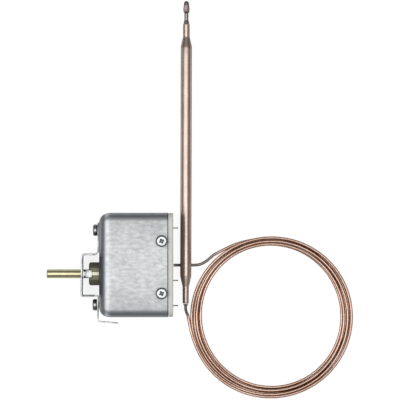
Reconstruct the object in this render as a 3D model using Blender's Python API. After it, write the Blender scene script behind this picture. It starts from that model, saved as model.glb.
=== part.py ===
"""A capillary thermostat with a drawn steel can, lying on its side with its bulb and coil.

The frame: X runs from the spindle's tip towards the terminals, Y along the can's front,
and Z up from the table. The origin is the middle of the can's side that rests on the table.
Lengths are in metres, written as millimetres times MM.
"""
import math

import bmesh
import bpy
from mathutils import Matrix, Vector

MM = 0.001

# Clearances
GAP = 0.3 * MM               # between two pieces that touch on the real thermostat
SHEET = 1.2 * MM             # steel of the inner frame and of the lever
STRIP = 0.8 * MM             # brass of the terminals

# The drawn can
CAN_LENGTH = 47.2 * MM
CAN_HEIGHT = 71.6 * MM
CAN_DEPTH = 44.0 * MM
CAN_WALL = 1.0 * MM
CAN_EDGE_RADIUS = 6.0 * MM   # long edges, seen along X
CAN_NOSE_RADIUS = 7.0 * MM   # where the closed end meets the sides
CAN_FRONT = -CAN_LENGTH / 2
CAN_OPEN = CAN_LENGTH / 2
CAN_TOP = CAN_HEIGHT / 2
CAN_BOTTOM = -CAN_HEIGHT / 2

# Spindle, bush and stop
AXIS_Y = -6.2 * MM
SPINDLE_DIAMETER = 6.0 * MM
SPINDLE_REACH = 36.4 * MM    # from the can's front to the spindle's tip
SPINDLE_CHAMFER = 0.8 * MM
SPINDLE_TURN = math.radians(300)
HEX_ACROSS_FLATS = 14.0 * MM
HEX_LENGTH = 6.9 * MM
BUSH_THREAD = 9.6 * MM
BUSH_NUT_LENGTH = 3.0 * MM
STOP_THICKNESS = 1.3 * MM
STOP_HUB_RADIUS = 5.0 * MM
STOP_RADIUS = 11.3 * MM
STOP_PIN_ORBIT = 9.9 * MM
STOP_PIN_DIAMETER = 2.4 * MM
STOP_PLAY = math.radians(2)

# Adjusting nut and range spring
NUT_LENGTH = 3.5 * MM
NUT_RADIUS = 6.5 * MM
NUT_ARM = 4.0 * MM
NUT_STANDOFF = 2.9 * MM      # from the stop to the nut
NUT_PITCH = 1.5 * MM         # a left-hand thread
SPRING_WIRE = 1.2 * MM
SPRING_DIAMETER = 10.0 * MM
SPRING_PITCH = 2.1 * MM

# Inner frame and lever
FRAME_INNER_DEPTH = 24.0 * MM
FRAME_BOTTOM = CAN_BOTTOM + 15.8 * MM
FRAME_WEB_TOP = CAN_TOP - 15.3 * MM
FRAME_LEG_BOTTOM = -14.5 * MM
FRAME_REAR_BOTTOM = 4.0 * MM
FRAME_REAR_SETBACK = 6.8 * MM  # ahead of the lever, where the legs below the flange end
PIVOT_Y = CAN_TOP - 7.8 * MM
PIVOT_SETBACK = 1.8 * MM     # from the lever's plate forward to its pivot
PIVOT_DIAMETER = 3.0 * MM
PIVOT_HEAD = 0.9 * MM
EAR_RADIUS = 3.0 * MM
LEVER_BOTTOM = CAN_BOTTOM + 11.8 * MM
LEVER_SETBACK = 10.7 * MM    # from the contact blade forward to the lever
LEVER_FOOT_WIDTH = 10.0 * MM
LEVER_SIDE_PLAY = 1.3 * MM
LEVER_TURN = math.radians(1.0)
TRIM_SCREW_DIAMETER = 3.0 * MM
TRIM_SCREW_HEAD = 2.2 * MM

# Diaphragm capsule
CAPSULE_Y = 12.0 * MM
CAPSULE_RADIUS = 11.0 * MM
CAPSULE_THICKNESS = 5.0 * MM
CAPSULE_STUD = 4.4 * MM
BUTTON_LENGTH = 2.2 * MM
BUTTON_RADIUS = 3.2 * MM
CAPSULE_NUT = 2.5 * MM
CAPSULE_NUT_FLATS = 8.0 * MM

# Base plate
BASE_THICKNESS = 3.2 * MM
SPIGOT_DEPTH = 7.4 * MM
SPIGOT_WALL = 2.5 * MM
SPIGOT_PLAY = 0.5 * MM
BOSS_SIZE = 9.0 * MM
BOSS_PLAY = 0.8 * MM         # between a boss and the common strip
LUG_SIZE = 3.0 * MM

# Terminals and switch
TAB_REACH = 3.5 * MM
TAB_WIDTH = 6.3 * MM
COMMON_TAB_Y = CAN_TOP - 10.4 * MM
BREAK_TAB_Y = CAN_BOTTOM + 25.0 * MM
MAKE_TAB_Y = CAN_BOTTOM + 7.7 * MM
COMMON_LIFT = 8.55 * MM      # the common strip runs above the other two
BUSBAR_X = CAN_OPEN - 1.7 * MM
BLADE_X = CAN_OPEN - 9.1 * MM
BLADE_THICKNESS = 0.4 * MM
BLADE_ROOT_Y = CAN_BOTTOM + 22.8 * MM
PUSH_Y = CAN_BOTTOM + 15.3 * MM
CONTACT_Y = CAN_BOTTOM + 10.3 * MM
CONTACT_RADIUS = 1.8 * MM
CONTACT_THICKNESS = 0.8 * MM
CONTACT_MARGIN = 1.1 * MM
RIVET_RADIUS = 1.1 * MM
FOOT_LENGTH = 3.1 * MM       # from the rivet to where the common strip turns
PUSH_PIN_DIAMETER = 3.0 * MM
PUSH_PIN_SHOULDER = 1.0 * MM
GUIDE_WALL = 1.8 * MM
GUIDE_LEG = 2.5 * MM
GUIDE_WIDTH = 6.0 * MM

# Bracket
BRACKET_SHEET = 1.0 * MM
BRACKET_TOP = CAN_TOP - 6.8 * MM
BRACKET_FOOT = CAN_BOTTOM - 3.2 * MM
HAT_TOP = 7.1 * MM
HAT_BOTTOM = CAN_BOTTOM + 14.4 * MM
HAT_REACH = 11.0 * MM        # from the ears to the hat's face
HAT_LEAN = 0.5 * MM
HAT_BEVEL = 2.0 * MM         # the slanted bend at the hat's upper root
HAT_WIDTH = CAN_DEPTH - 6.0 * MM
EAR_WIDTH = 14.0 * MM
PANEL_HOLE_SPACING = 28.0 * MM
PANEL_HOLE = 4.3 * MM
EARTH_TAB_LENGTH = 14.0 * MM
EARTH_TAB_DROP = math.radians(5)
TONGUE_WIDTH = 5.5 * MM
TONGUE_BITE = 2.1 * MM       # how far the tongue reaches into the bush's slot

# Screws, all M4 pan heads
SCREW_HEAD = 8.0 * MM
SCREW_HEAD_HEIGHT = 3.1 * MM
SCREW_SHANK = 3.9 * MM
SCREW_LENGTH = 6.0 * MM
INSERT_DIAMETER = 5.5 * MM
INSERT_LENGTH = 3.6 * MM
FRONT_SCREW_YS = (CAN_TOP - 11.9 * MM, CAN_BOTTOM + 8.2 * MM)
SIDE_SCREW_YS = (CAN_TOP - 19.3 * MM, CAN_BOTTOM + 16.4 * MM)
SIDE_SCREW_SETBACK = 4.2 * MM    # from the can's open edge

# Capillary, coil and bulb
CAPILLARY = 2.0 * MM
EXIT_Y = -0.45 * MM
EXIT_Z = 3.5 * MM
COIL_CENTRE = (95.4 * MM, -36.05 * MM)
COIL_INNER = 47.3 * MM
COIL_OUTER = 56.5 * MM
COIL_HEIGHT = 4.2 * MM
BULB_X = 35.85 * MM          # where the bulb crosses the capillary
BULB_LEAN = math.radians(0.15)
BULB_DIAMETER = 7.7 * MM
BULB_END = 150.4 * MM        # where the full bulb meets its upper cone
BULB_START = -7.8 * MM       # where it meets its lower cone
UPPER_CONE = 7.4 * MM
UPPER_COLLAR = 9.6 * MM
UPPER_RADIUS = 2.35 * MM
LOWER_CONE = 8.0 * MM
LOWER_COLLAR = 11.2 * MM
LOWER_RADIUS = 2.1 * MM
CHARGING_TUBE = 2.8 * MM
CHARGING_LENGTH = 11.4 * MM
BEAD = 2.8 * MM
SEAM = 1.5 * MM

# Places that follow from the sizes above
AXIS_Z = CAN_DEPTH / 2
INNER_FRONT = CAN_FRONT + CAN_WALL
EAR_X = CAN_FRONT - GAP - BRACKET_SHEET / 2
HAT_X = EAR_X - HAT_REACH
HEX_BACK = CAN_FRONT - GAP
HEX_FRONT = HEX_BACK - HEX_LENGTH
TONGUE_TIP = HEX_FRONT + TONGUE_BITE
WEB_FRONT = INNER_FRONT + GAP
WEB_BACK = WEB_FRONT + SHEET
BUSH_NUT_FRONT = WEB_BACK + GAP
BUSH_NUT_BACK = BUSH_NUT_FRONT + BUSH_NUT_LENGTH
BUSH_END = BUSH_NUT_BACK + GAP
STOP_FRONT = BUSH_END + GAP
STOP_BACK = STOP_FRONT + STOP_THICKNESS
NUT_FRONT = STOP_BACK + NUT_STANDOFF
NUT_BACK = NUT_FRONT + NUT_LENGTH
NUT_TRAVEL = NUT_PITCH * SPINDLE_TURN / 2 / (2 * math.pi)
SPRING_FRONT = NUT_BACK + GAP
LEVER_FRONT = BLADE_X - LEVER_SETBACK
SPRING_LENGTH = LEVER_FRONT - GAP - SPRING_FRONT
SPRING_TURNS = max(3, round(SPRING_LENGTH / SPRING_PITCH))
LEVER_BACK = LEVER_FRONT + SHEET
PIVOT_X = LEVER_FRONT - PIVOT_SETBACK
BUTTON_FRONT = LEVER_BACK + GAP
CAPSULE_FRONT = BUTTON_FRONT + BUTTON_LENGTH + GAP
CAPSULE_BACK = CAPSULE_FRONT + CAPSULE_THICKNESS
FLANGE_FRONT = CAPSULE_BACK + SHEET + GAP
FLANGE_BACK = FLANGE_FRONT + SHEET
LEG_LOW = AXIS_Z - FRAME_INNER_DEPTH / 2
LEG_HIGH = AXIS_Z + FRAME_INNER_DEPTH / 2
BASE_FRONT = CAN_OPEN + GAP
BASE_BACK = BASE_FRONT + BASE_THICKNESS
SIDE_SCREW_X = CAN_OPEN - SIDE_SCREW_SETBACK
TAB_TIP = BASE_BACK + TAB_REACH
COMMON_Z = AXIS_Z + COMMON_LIFT
BLADE_FRONT = BLADE_X - BLADE_THICKNESS / 2
BLADE_BACK = BLADE_X + BLADE_THICKNESS / 2
PUSH_TRAVEL = (PIVOT_Y - PUSH_Y) * math.tan(LEVER_TURN)
CONTACT_TRAVEL = PUSH_TRAVEL * (BLADE_ROOT_Y - CONTACT_Y) / (BLADE_ROOT_Y - PUSH_Y)
MOVING_FRONT = BLADE_FRONT - GAP - CONTACT_THICKNESS
MOVING_BACK = BLADE_BACK + GAP + CONTACT_THICKNESS
BREAK_FACE = MOVING_FRONT - CONTACT_TRAVEL - GAP
BREAK_STRIP_X = BREAK_FACE - CONTACT_THICKNESS - GAP - STRIP / 2
MAKE_FACE = MOVING_BACK + GAP
MAKE_STRIP_X = MAKE_FACE + CONTACT_THICKNESS + GAP + STRIP / 2
GUIDE_BACK = BREAK_STRIP_X - STRIP / 2 - 2 * GAP
GUIDE_FRONT = GUIDE_BACK - GUIDE_WALL
TRIM_TIP = LEVER_BACK + 1.2 * MM
BULB_RADIUS = BULB_DIAMETER / 2
BULB_LIFT = CAPILLARY + GAP      # the bulb crosses the capillary at EXIT_Y
BULB_TILT = BULB_LIFT / (BULB_END - EXIT_Y)


def material(name, colour, roughness, metallic):
    """Make a Principled material."""
    made = bpy.data.materials.new(name)
    made.use_nodes = True
    shader = made.node_tree.nodes["Principled BSDF"]
    shader.inputs["Base Color"].default_value = (*colour, 1.0)
    shader.inputs["Roughness"].default_value = roughness
    shader.inputs["Metallic"].default_value = metallic
    made.diffuse_color = (*colour, 1.0)
    return made


def finish_mesh(name, bm, mat, smooth=True):
    """Turn a bmesh into an object with outward faces."""
    bmesh.ops.remove_doubles(bm, verts=bm.verts, dist=1e-7)
    bmesh.ops.recalc_face_normals(bm, faces=bm.faces)
    mesh = bpy.data.meshes.new(name)
    bm.to_mesh(mesh)
    bm.free()
    if mat:
        mesh.materials.append(mat)
    if smooth:
        mesh.shade_smooth()
        mesh.set_sharp_from_angle(angle=math.radians(35))
    made = bpy.data.objects.new(name, mesh)
    bpy.context.collection.objects.link(made)
    return made


def as_guide(made):
    """Keep a cutter or an added form out of the model itself."""
    made.hide_render = True
    made.display_type = "WIRE"
    return made


def combine(target, guide, operation):
    """Cut the guide from the target, or add it to the target."""
    as_guide(guide)
    step = target.modifiers.new(guide.name, "BOOLEAN")
    step.operation = operation
    step.object = guide
    step.solver = "EXACT"


def cut(target, *guides):
    for guide in guides:
        combine(target, guide, "DIFFERENCE")


def add(target, *guides):
    for guide in guides:
        combine(target, guide, "UNION")


def axis_matrix(axis, place):
    """Stand local Z along a world axis, at a place."""
    turn = {"X": Matrix.Rotation(math.pi / 2, 4, "Y"),
            "Y": Matrix.Rotation(-math.pi / 2, 4, "X"),
            "Z": Matrix.Identity(4)}[axis]
    return Matrix.Translation(place) @ turn


def lathe(name, profile, place, axis, mat, sides=32, turn=0.0):
    """Turn (station, radius) points round an axis. Radius 0 at both ends makes it solid."""
    bm = bmesh.new()
    rings = []
    for station, radius in profile:
        count = sides if radius > 0 else 1
        angles = [turn + 2 * math.pi * i / sides for i in range(count)]
        rings.append([bm.verts.new((radius * math.cos(a), radius * math.sin(a), station)) for a in angles])
    pairs = list(zip(rings, rings[1:]))
    if len(rings[0]) > 1:
        pairs.append((rings[-1], rings[0]))
    for first, second in pairs:
        for i in range(sides):
            j = (i + 1) % sides
            near = [first[i % len(first)], first[j % len(first)]]
            far = [second[j % len(second)], second[i % len(second)]]
            bm.faces.new(list(dict.fromkeys(near + far)))
    bm.transform(axis_matrix(axis, place))
    return finish_mesh(name, bm, mat)


def rod(name, low, high, radius, place, axis, mat=None, sides=32, turn=0.0):
    """A plain round or many-sided bar between two stations along an axis."""
    profile = [(low, 0.0), (low, radius), (high, radius), (high, 0.0)]
    return lathe(name, profile, place, axis, mat, sides, turn)


def box(name, x, y, z, mat=None):
    """A box between (low, high) pairs."""
    bm = bmesh.new()
    bmesh.ops.create_cube(bm, size=1.0)
    size = [pair[1] - pair[0] for pair in (x, y, z)]
    centre = [(pair[1] + pair[0]) / 2 for pair in (x, y, z)]
    bm.transform(Matrix.Translation(centre) @ Matrix.Diagonal((*size, 1.0)))
    return finish_mesh(name, bm, mat, smooth=False)


def to_world(plane, u, v, w):
    """Place a point of a drawing plane, w being its height over the plane."""
    return {"XY": (u, v, w), "YZ": (w, u, v), "XZ": (u, w, v)}[plane]


def prism(name, outline, low, high, plane, mat=None):
    """Extrude a closed outline between two heights over its plane."""
    bm = bmesh.new()
    ends = [[bm.verts.new(to_world(plane, u, v, w)) for u, v in outline] for w in (low, high)]
    bm.faces.new(ends[0])
    bm.faces.new(ends[1])
    for i in range(len(outline)):
        j = (i + 1) % len(outline)
        bm.faces.new((ends[0][i], ends[0][j], ends[1][j], ends[1][i]))
    return finish_mesh(name, bm, mat)


def rounded_rectangle(half_u, half_v, radius, centre=(0.0, 0.0), steps=6):
    """The corners of a rectangle as arcs, anticlockwise."""
    points = []
    for quarter, (sign_u, sign_v) in enumerate(((1, 1), (-1, 1), (-1, -1), (1, -1))):
        for i in range(steps + 1):
            angle = math.pi / 2 * (quarter + i / steps)
            points.append((centre[0] + sign_u * (half_u - radius) + radius * math.cos(angle),
                           centre[1] + sign_v * (half_v - radius) + radius * math.sin(angle)))
    return points


def round_bends(path, radius, steps=4):
    """Replace each inner corner of an open path by an arc."""
    points = [Vector(path[0])]
    for before, corner, after in zip(path, path[1:], path[2:]):
        corner = Vector(corner)
        back = (Vector(before) - corner).normalized()
        ahead = (Vector(after) - corner).normalized()
        half = back.angle(ahead) / 2
        reach = radius / math.tan(half)
        centre = corner + (back + ahead).normalized() * radius / math.sin(half)
        start = corner + back * reach - centre
        end = corner + ahead * reach - centre
        sweep = start.angle_signed(end)
        for i in range(steps + 1):
            points.append(centre + Matrix.Rotation(-sweep * i / steps, 2) @ start)
    points.append(Vector(path[-1]))
    return points


def strip_outline(path, thickness, bend):
    """Offset an open path to both sides by half the sheet's thickness."""
    line = round_bends(path, bend + thickness / 2)
    left = []
    right = []
    for i, point in enumerate(line):
        along = (line[min(i + 1, len(line) - 1)] - line[max(i - 1, 0)]).normalized()
        side = Vector((-along.y, along.x)) * thickness / 2
        left.append(tuple(point + side))
        right.append(tuple(point - side))
    return left + right[::-1]


def smooth_route(points, spacing):
    """Read evenly spaced points from a Catmull-Rom curve through the route's own points."""
    knots = [Vector(p) for p in points]
    knots = [2 * knots[0] - knots[1]] + knots + [2 * knots[-1] - knots[-2]]
    dense = []
    for a, b, c, d in zip(knots, knots[1:], knots[2:], knots[3:]):
        for i in range(24):
            t = i / 24
            dense.append(0.5 * (2 * b + (c - a) * t + (2 * a - 5 * b + 4 * c - d) * t ** 2
                                + (3 * b - a - 3 * c + d) * t ** 3))
    dense.append(knots[-2])
    lengths = [0.0]
    for a, b in zip(dense, dense[1:]):
        lengths.append(lengths[-1] + (b - a).length)
    count = max(2, round(lengths[-1] / spacing))
    picked = []
    for k in range(count + 1):
        wanted = lengths[-1] * k / count
        i = min(max(sum(1 for l in lengths if l <= wanted) - 1, 0), len(dense) - 2)
        share = (wanted - lengths[i]) / (lengths[i + 1] - lengths[i])
        picked.append(dense[i].lerp(dense[i + 1], min(share, 1.0)))
    return picked


def tube(name, points, diameter, mat, resolution=2):
    """A round wire or pipe along a line of points."""
    curve = bpy.data.curves.new(name, "CURVE")
    curve.dimensions = "3D"
    curve.bevel_depth = diameter / 2
    curve.bevel_resolution = resolution
    curve.use_fill_caps = True
    spline = curve.splines.new("POLY")
    spline.points.add(len(points) - 1)
    for target, point in zip(spline.points, points):
        target.co = (*point, 1.0)
    curve.materials.append(mat)
    made = bpy.data.objects.new(name, curve)
    bpy.context.collection.objects.link(made)
    return made


def on_spindle(x=0.0):
    """A point of the spindle's axis."""
    return (x, AXIS_Y, AXIS_Z)


def hexagon_radius(across_flats):
    return across_flats / 2 / math.cos(math.pi / 6)


def make_can(steel):
    """The can: rounded sections that shrink over a round nose, given their wall inwards."""
    bm = bmesh.new()
    steps = 6
    rings = []
    for i in range(steps + 1):
        swing = math.pi / 2 * i / steps
        x = CAN_FRONT + CAN_NOSE_RADIUS * (1 - math.sin(swing))
        inset = CAN_NOSE_RADIUS * (1 - math.cos(swing))
        corner = CAN_EDGE_RADIUS - 0.75 * inset * CAN_EDGE_RADIUS / CAN_NOSE_RADIUS
        outline = rounded_rectangle(CAN_HEIGHT / 2 - inset, CAN_DEPTH / 2 - inset, corner, (0.0, AXIS_Z))
        rings.append([bm.verts.new((x, u, v)) for u, v in outline])
    rings = rings[::-1]
    outline = rounded_rectangle(CAN_HEIGHT / 2, CAN_DEPTH / 2, CAN_EDGE_RADIUS, (0.0, AXIS_Z))
    rings.append([bm.verts.new((CAN_OPEN, u, v)) for u, v in outline])
    bm.faces.new(rings[0])
    for first, second in zip(rings, rings[1:]):
        for i in range(len(first)):
            j = (i + 1) % len(first)
            bm.faces.new((first[i], first[j], second[j], second[i]))
    bmesh.ops.recalc_face_normals(bm, faces=bm.faces)
    bm.faces.ensure_lookup_table()
    if bm.faces[0].normal.x > 0:
        bmesh.ops.reverse_faces(bm, faces=bm.faces)
    mesh = bpy.data.meshes.new("housing_can")
    bm.to_mesh(mesh)
    bm.free()
    mesh.materials.append(steel)
    mesh.shade_smooth()
    can = bpy.data.objects.new("housing_can", mesh)
    bpy.context.collection.objects.link(can)
    shell = can.modifiers.new("wall", "SOLIDIFY")
    shell.thickness = CAN_WALL
    shell.offset = -1.0
    shell.use_even_offset = True
    wall = (CAN_FRONT - CAN_WALL, INNER_FRONT + CAN_WALL)
    cut(can, rod("can_bush_hole", *wall, BUSH_THREAD / 2 + GAP, on_spindle(), "X"))
    for i, y in enumerate(FRONT_SCREW_YS):
        cut(can, rod(f"can_front_hole_{i}", *wall, SCREW_SHANK / 2 + GAP, (0, y, AXIS_Z), "X", sides=24))
    top = (CAN_DEPTH - 3 * CAN_WALL, CAN_DEPTH + CAN_WALL)
    for i, y in enumerate(SIDE_SCREW_YS):
        cut(can, rod(f"can_side_hole_{i}", *top, SCREW_SHANK / 2 + GAP, (SIDE_SCREW_X, y, 0), "Z", sides=24))
        reach = LUG_SIZE / 2 + GAP
        cut(can, box(f"can_lug_slot_{i}", (SIDE_SCREW_X - reach, SIDE_SCREW_X + reach),
                     (y - 2 * reach, y + 2 * reach), (-CAN_WALL, 2 * CAN_WALL)))
    return can


def make_base(plastic):
    """The moulded plate that closes the can, with its spigot, bosses, lugs and pin guide."""
    half_y = CAN_HEIGHT / 2 - 0.2 * MM
    half_z = CAN_DEPTH / 2 - 0.2 * MM
    plate = prism("base_plate", rounded_rectangle(half_y, half_z, CAN_EDGE_RADIUS, (0.0, AXIS_Z)),
                  BASE_FRONT, BASE_BACK, "YZ", plastic)
    spigot_y = CAN_HEIGHT / 2 - CAN_WALL - SPIGOT_PLAY
    spigot_z = CAN_DEPTH / 2 - CAN_WALL - SPIGOT_PLAY
    corner = CAN_EDGE_RADIUS - CAN_WALL - SPIGOT_PLAY
    front = BASE_FRONT - SPIGOT_DEPTH
    into = BASE_FRONT + BASE_THICKNESS / 4
    spigot = prism("base_spigot", rounded_rectangle(spigot_y, spigot_z, corner, (0.0, AXIS_Z)),
                   front, into, "YZ")
    pocket = prism("base_pocket",
                   rounded_rectangle(spigot_y - SPIGOT_WALL, spigot_z - SPIGOT_WALL, corner - SPIGOT_WALL / 2,
                                     (0.0, AXIS_Z)), front - GAP, BASE_FRONT, "YZ")
    add(plate, spigot)
    cut(plate, pocket)
    spigot_top = AXIS_Z + spigot_z
    spigot_low = AXIS_Z - spigot_z
    boss_low = COMMON_Z + TAB_WIDTH / 2 + BOSS_PLAY
    for i, y in enumerate(SIDE_SCREW_YS):
        side = (y - BOSS_SIZE / 2, y + BOSS_SIZE / 2)
        boss = (boss_low, spigot_top - SPIGOT_WALL / 2)
        add(plate, box(f"base_boss_{i}", (front, into), side, boss))
        add(plate, box(f"base_lug_{i}", (SIDE_SCREW_X - LUG_SIZE / 2, SIDE_SCREW_X + LUG_SIZE / 2),
                       (y - LUG_SIZE, y + LUG_SIZE), (GAP, spigot_low + SPIGOT_WALL / 2)))
        cut(plate, rod(f"base_screw_hole_{i}", boss_low - GAP, spigot_top + GAP,
                       SCREW_SHANK / 2 + GAP, (SIDE_SCREW_X, y, 0), "Z", sides=24))
    add(plate, make_pin_guide(into))
    tabs = (("common", COMMON_TAB_Y, COMMON_Z), ("break", BREAK_TAB_Y, AXIS_Z), ("make", MAKE_TAB_Y, AXIS_Z))
    for name, y, z in tabs:
        half = (STRIP / 2 + GAP, TAB_WIDTH / 2 + GAP)
        cut(plate, box(f"base_slot_{name}", (BASE_FRONT - GAP, BASE_BACK + GAP), (y - half[0], y + half[0]),
                       (z - half[1], z + half[1])))
    cut(plate, rod("base_capillary_hole", front - GAP, BASE_BACK + GAP, CAPILLARY / 2 + GAP,
                   (0, EXIT_Y, EXIT_Z), "X", sides=16))
    return plate


def make_pin_guide(into):
    """The moulded bow that stands on the base plate and guides the push pin."""
    inside = TAB_WIDTH / 2 + GAP + GUIDE_LEG
    outside = inside + GUIDE_LEG
    outline = [(into, AXIS_Z - outside), (GUIDE_FRONT, AXIS_Z - outside), (GUIDE_FRONT, AXIS_Z + outside),
               (into, AXIS_Z + outside), (into, AXIS_Z + inside), (GUIDE_BACK, AXIS_Z + inside),
               (GUIDE_BACK, AXIS_Z - inside), (into, AXIS_Z - inside)]
    bow = prism("pin_guide", outline, PUSH_Y - GUIDE_WIDTH / 2, PUSH_Y + GUIDE_WIDTH / 2, "XZ")
    cut(bow, rod("pin_guide_hole", GUIDE_FRONT - GAP, GUIDE_BACK + GAP, PUSH_PIN_DIAMETER / 2 + GAP,
                 (0, PUSH_Y, AXIS_Z), "X", sides=24))
    return bow


def make_bush(brass):
    """The hexagon bush with its threaded shank, bored for the spindle and slotted for the tongue."""
    corners = hexagon_radius(HEX_ACROSS_FLATS)
    bush = rod("hex_bush", HEX_FRONT, HEX_BACK, corners, on_spindle(), "X", brass, sides=6, turn=math.pi / 2)
    add(bush, rod("bush_shank", HEX_BACK - HEX_LENGTH / 4, BUSH_END, BUSH_THREAD / 2, on_spindle(), "X"))
    running = SPINDLE_DIAMETER / 2 + GAP
    cut(bush, rod("bush_bore", HEX_FRONT - GAP, BUSH_END + GAP, running, on_spindle(), "X"))
    half = TONGUE_WIDTH / 2 + GAP
    cut(bush, box("bush_slot", (HEX_FRONT - GAP, TONGUE_TIP + GAP), (AXIS_Y - half, AXIS_Y + half),
                  (AXIS_Z + SPINDLE_DIAMETER / 2, AXIS_Z + HEX_ACROSS_FLATS)))
    nut = rod("bush_nut", BUSH_NUT_FRONT, BUSH_NUT_BACK, corners, on_spindle(), "X", brass, sides=6,
              turn=math.pi / 2)
    cut(nut, rod("bush_nut_bore", BUSH_NUT_FRONT - GAP, BUSH_NUT_BACK + GAP, BUSH_THREAD / 2 + GAP,
                 on_spindle(), "X"))


def make_spindle(brass):
    """The turned spindle: a rounded tip outside, the bush and the adjusting nut on it inside."""
    tip = CAN_FRONT - SPINDLE_REACH
    radius = SPINDLE_DIAMETER / 2
    end = NUT_BACK + NUT_LENGTH
    profile = [(tip, 0.0), (tip, radius - SPINDLE_CHAMFER),
               (tip + 0.35 * SPINDLE_CHAMFER, radius - 0.4 * SPINDLE_CHAMFER),
               (tip + SPINDLE_CHAMFER, radius), (end - SPINDLE_CHAMFER, radius),
               (end, radius - SPINDLE_CHAMFER), (end, 0.0)]
    lathe("spindle", profile, on_spindle(), "X", brass)


def make_stop(steel):
    """The sector that turns with the spindle, and the pin in the frame that limits it."""
    pin_half = math.asin(STOP_PIN_DIAMETER / 2 / STOP_PIN_ORBIT)
    half = math.pi - SPINDLE_TURN / 2 - pin_half - STOP_PLAY
    outline = []
    arcs = ((STOP_RADIUS, -half, half, 8), (STOP_HUB_RADIUS, half, 2 * math.pi - half, 24))
    for radius, start, end, steps in arcs:
        for i in range(steps + 1):
            angle = start + (end - start) * i / steps
            outline.append((AXIS_Y + radius * math.cos(angle), AXIS_Z + radius * math.sin(angle)))
    stop = prism("stop_sector", outline, STOP_FRONT, STOP_BACK, "YZ", steel)
    running = SPINDLE_DIAMETER / 2 + GAP
    cut(stop, rod("stop_bore", STOP_FRONT - GAP, STOP_BACK + GAP, running, on_spindle(), "X"))
    rod("stop_pin", WEB_FRONT, STOP_BACK, STOP_PIN_DIAMETER / 2, (0, AXIS_Y - STOP_PIN_ORBIT, AXIS_Z), "X",
        steel, sides=20)


def make_adjuster(brass, spring_steel):
    """The adjusting nut, kept from turning by its two arms, and the range spring behind it."""
    nut = rod("adjusting_nut", NUT_FRONT, NUT_BACK, NUT_RADIUS, on_spindle(), "X", brass)
    half = FRAME_INNER_DEPTH / 2 + SHEET + 2 * GAP
    add(nut, box("nut_arms", (NUT_FRONT + GAP, NUT_BACK - GAP), (AXIS_Y - NUT_ARM / 2, AXIS_Y + NUT_ARM / 2),
                 (AXIS_Z - half, AXIS_Z + half)))
    cut(nut, rod("nut_bore", NUT_FRONT - GAP, NUT_BACK + GAP, SPINDLE_DIAMETER / 2 + GAP, on_spindle(), "X"))
    radius = (SPRING_DIAMETER - SPRING_WIRE) / 2
    low = SPRING_FRONT + SPRING_WIRE / 2
    rise = SPRING_LENGTH - SPRING_WIRE
    closed_rise = 1.08 * SPRING_WIRE
    open_rise = rise - 2 * closed_rise
    per_turn = 12
    count = SPRING_TURNS * per_turn
    points = []
    for i in range(count + 1):
        turns = i / per_turn
        first = min(turns, 1.0)
        middle = min(max((turns - 1) / (SPRING_TURNS - 2), 0.0), 1.0)
        last = max(turns - SPRING_TURNS + 1, 0.0)
        x = low + closed_rise * (first + last) + open_rise * middle
        angle = 2 * math.pi * turns
        points.append((x, AXIS_Y + radius * math.cos(angle), AXIS_Z + radius * math.sin(angle)))
    tube("range_spring", points, SPRING_WIRE, spring_steel, resolution=1)


def make_frame(steel):
    """The folded inner frame: web behind the can's front, two legs and a flange for the capsule."""
    top = PIVOT_Y + EAR_RADIUS
    outer = rounded_rectangle((FLANGE_BACK - WEB_FRONT) / 2, FRAME_INNER_DEPTH / 2 + SHEET, 1.5 * SHEET,
                              ((FLANGE_BACK + WEB_FRONT) / 2, AXIS_Z), steps=3)
    inner = rounded_rectangle((FLANGE_FRONT - WEB_BACK) / 2, FRAME_INNER_DEPTH / 2, SHEET / 2,
                              ((FLANGE_FRONT + WEB_BACK) / 2, AXIS_Z), steps=3)
    frame = prism("inner_frame", outer, FRAME_BOTTOM, top, "XZ", steel)
    far = CAN_LENGTH
    depth = (0.0, CAN_DEPTH)
    cut(frame, prism("frame_inside", inner, FRAME_BOTTOM - GAP, top + GAP, "XZ"))
    under = FRAME_BOTTOM - SHEET
    cut(frame, box("frame_below_flange", (LEVER_FRONT - FRAME_REAR_SETBACK, far),
                   (under, FRAME_REAR_BOTTOM), depth))
    cut(frame, box("frame_below_legs", (WEB_BACK + GAP, far), (under, FRAME_LEG_BOTTOM), depth))
    cut(frame, box("frame_above_web", (-far, WEB_BACK + GAP), (FRAME_WEB_TOP, top + SHEET), depth))
    web = (WEB_FRONT - GAP, WEB_BACK + GAP)
    cut(frame, rod("frame_bush_hole", *web, BUSH_THREAD / 2 + GAP, on_spindle(), "X"))
    cut(frame, rod("frame_stop_hole", *web, STOP_PIN_DIAMETER / 2 + GAP,
                   (0, AXIS_Y - STOP_PIN_ORBIT, AXIS_Z), "X", sides=20))
    slot = NUT_TRAVEL + 2 * GAP
    side = NUT_ARM / 2 + GAP
    cut(frame, box("frame_nut_slots", (NUT_FRONT - slot, NUT_BACK + slot),
                   (AXIS_Y - side, AXIS_Y + side), depth))
    cut(frame, rod("frame_pivot_holes", 0.0, CAN_DEPTH, PIVOT_DIAMETER / 2 + GAP, (PIVOT_X, PIVOT_Y, 0), "Z",
                   sides=20))
    cut(frame, rod("frame_stud_hole", FLANGE_FRONT - GAP, FLANGE_BACK + GAP, CAPSULE_STUD / 2 + GAP,
                   (0, CAPSULE_Y, AXIS_Z), "X", sides=24))


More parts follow.
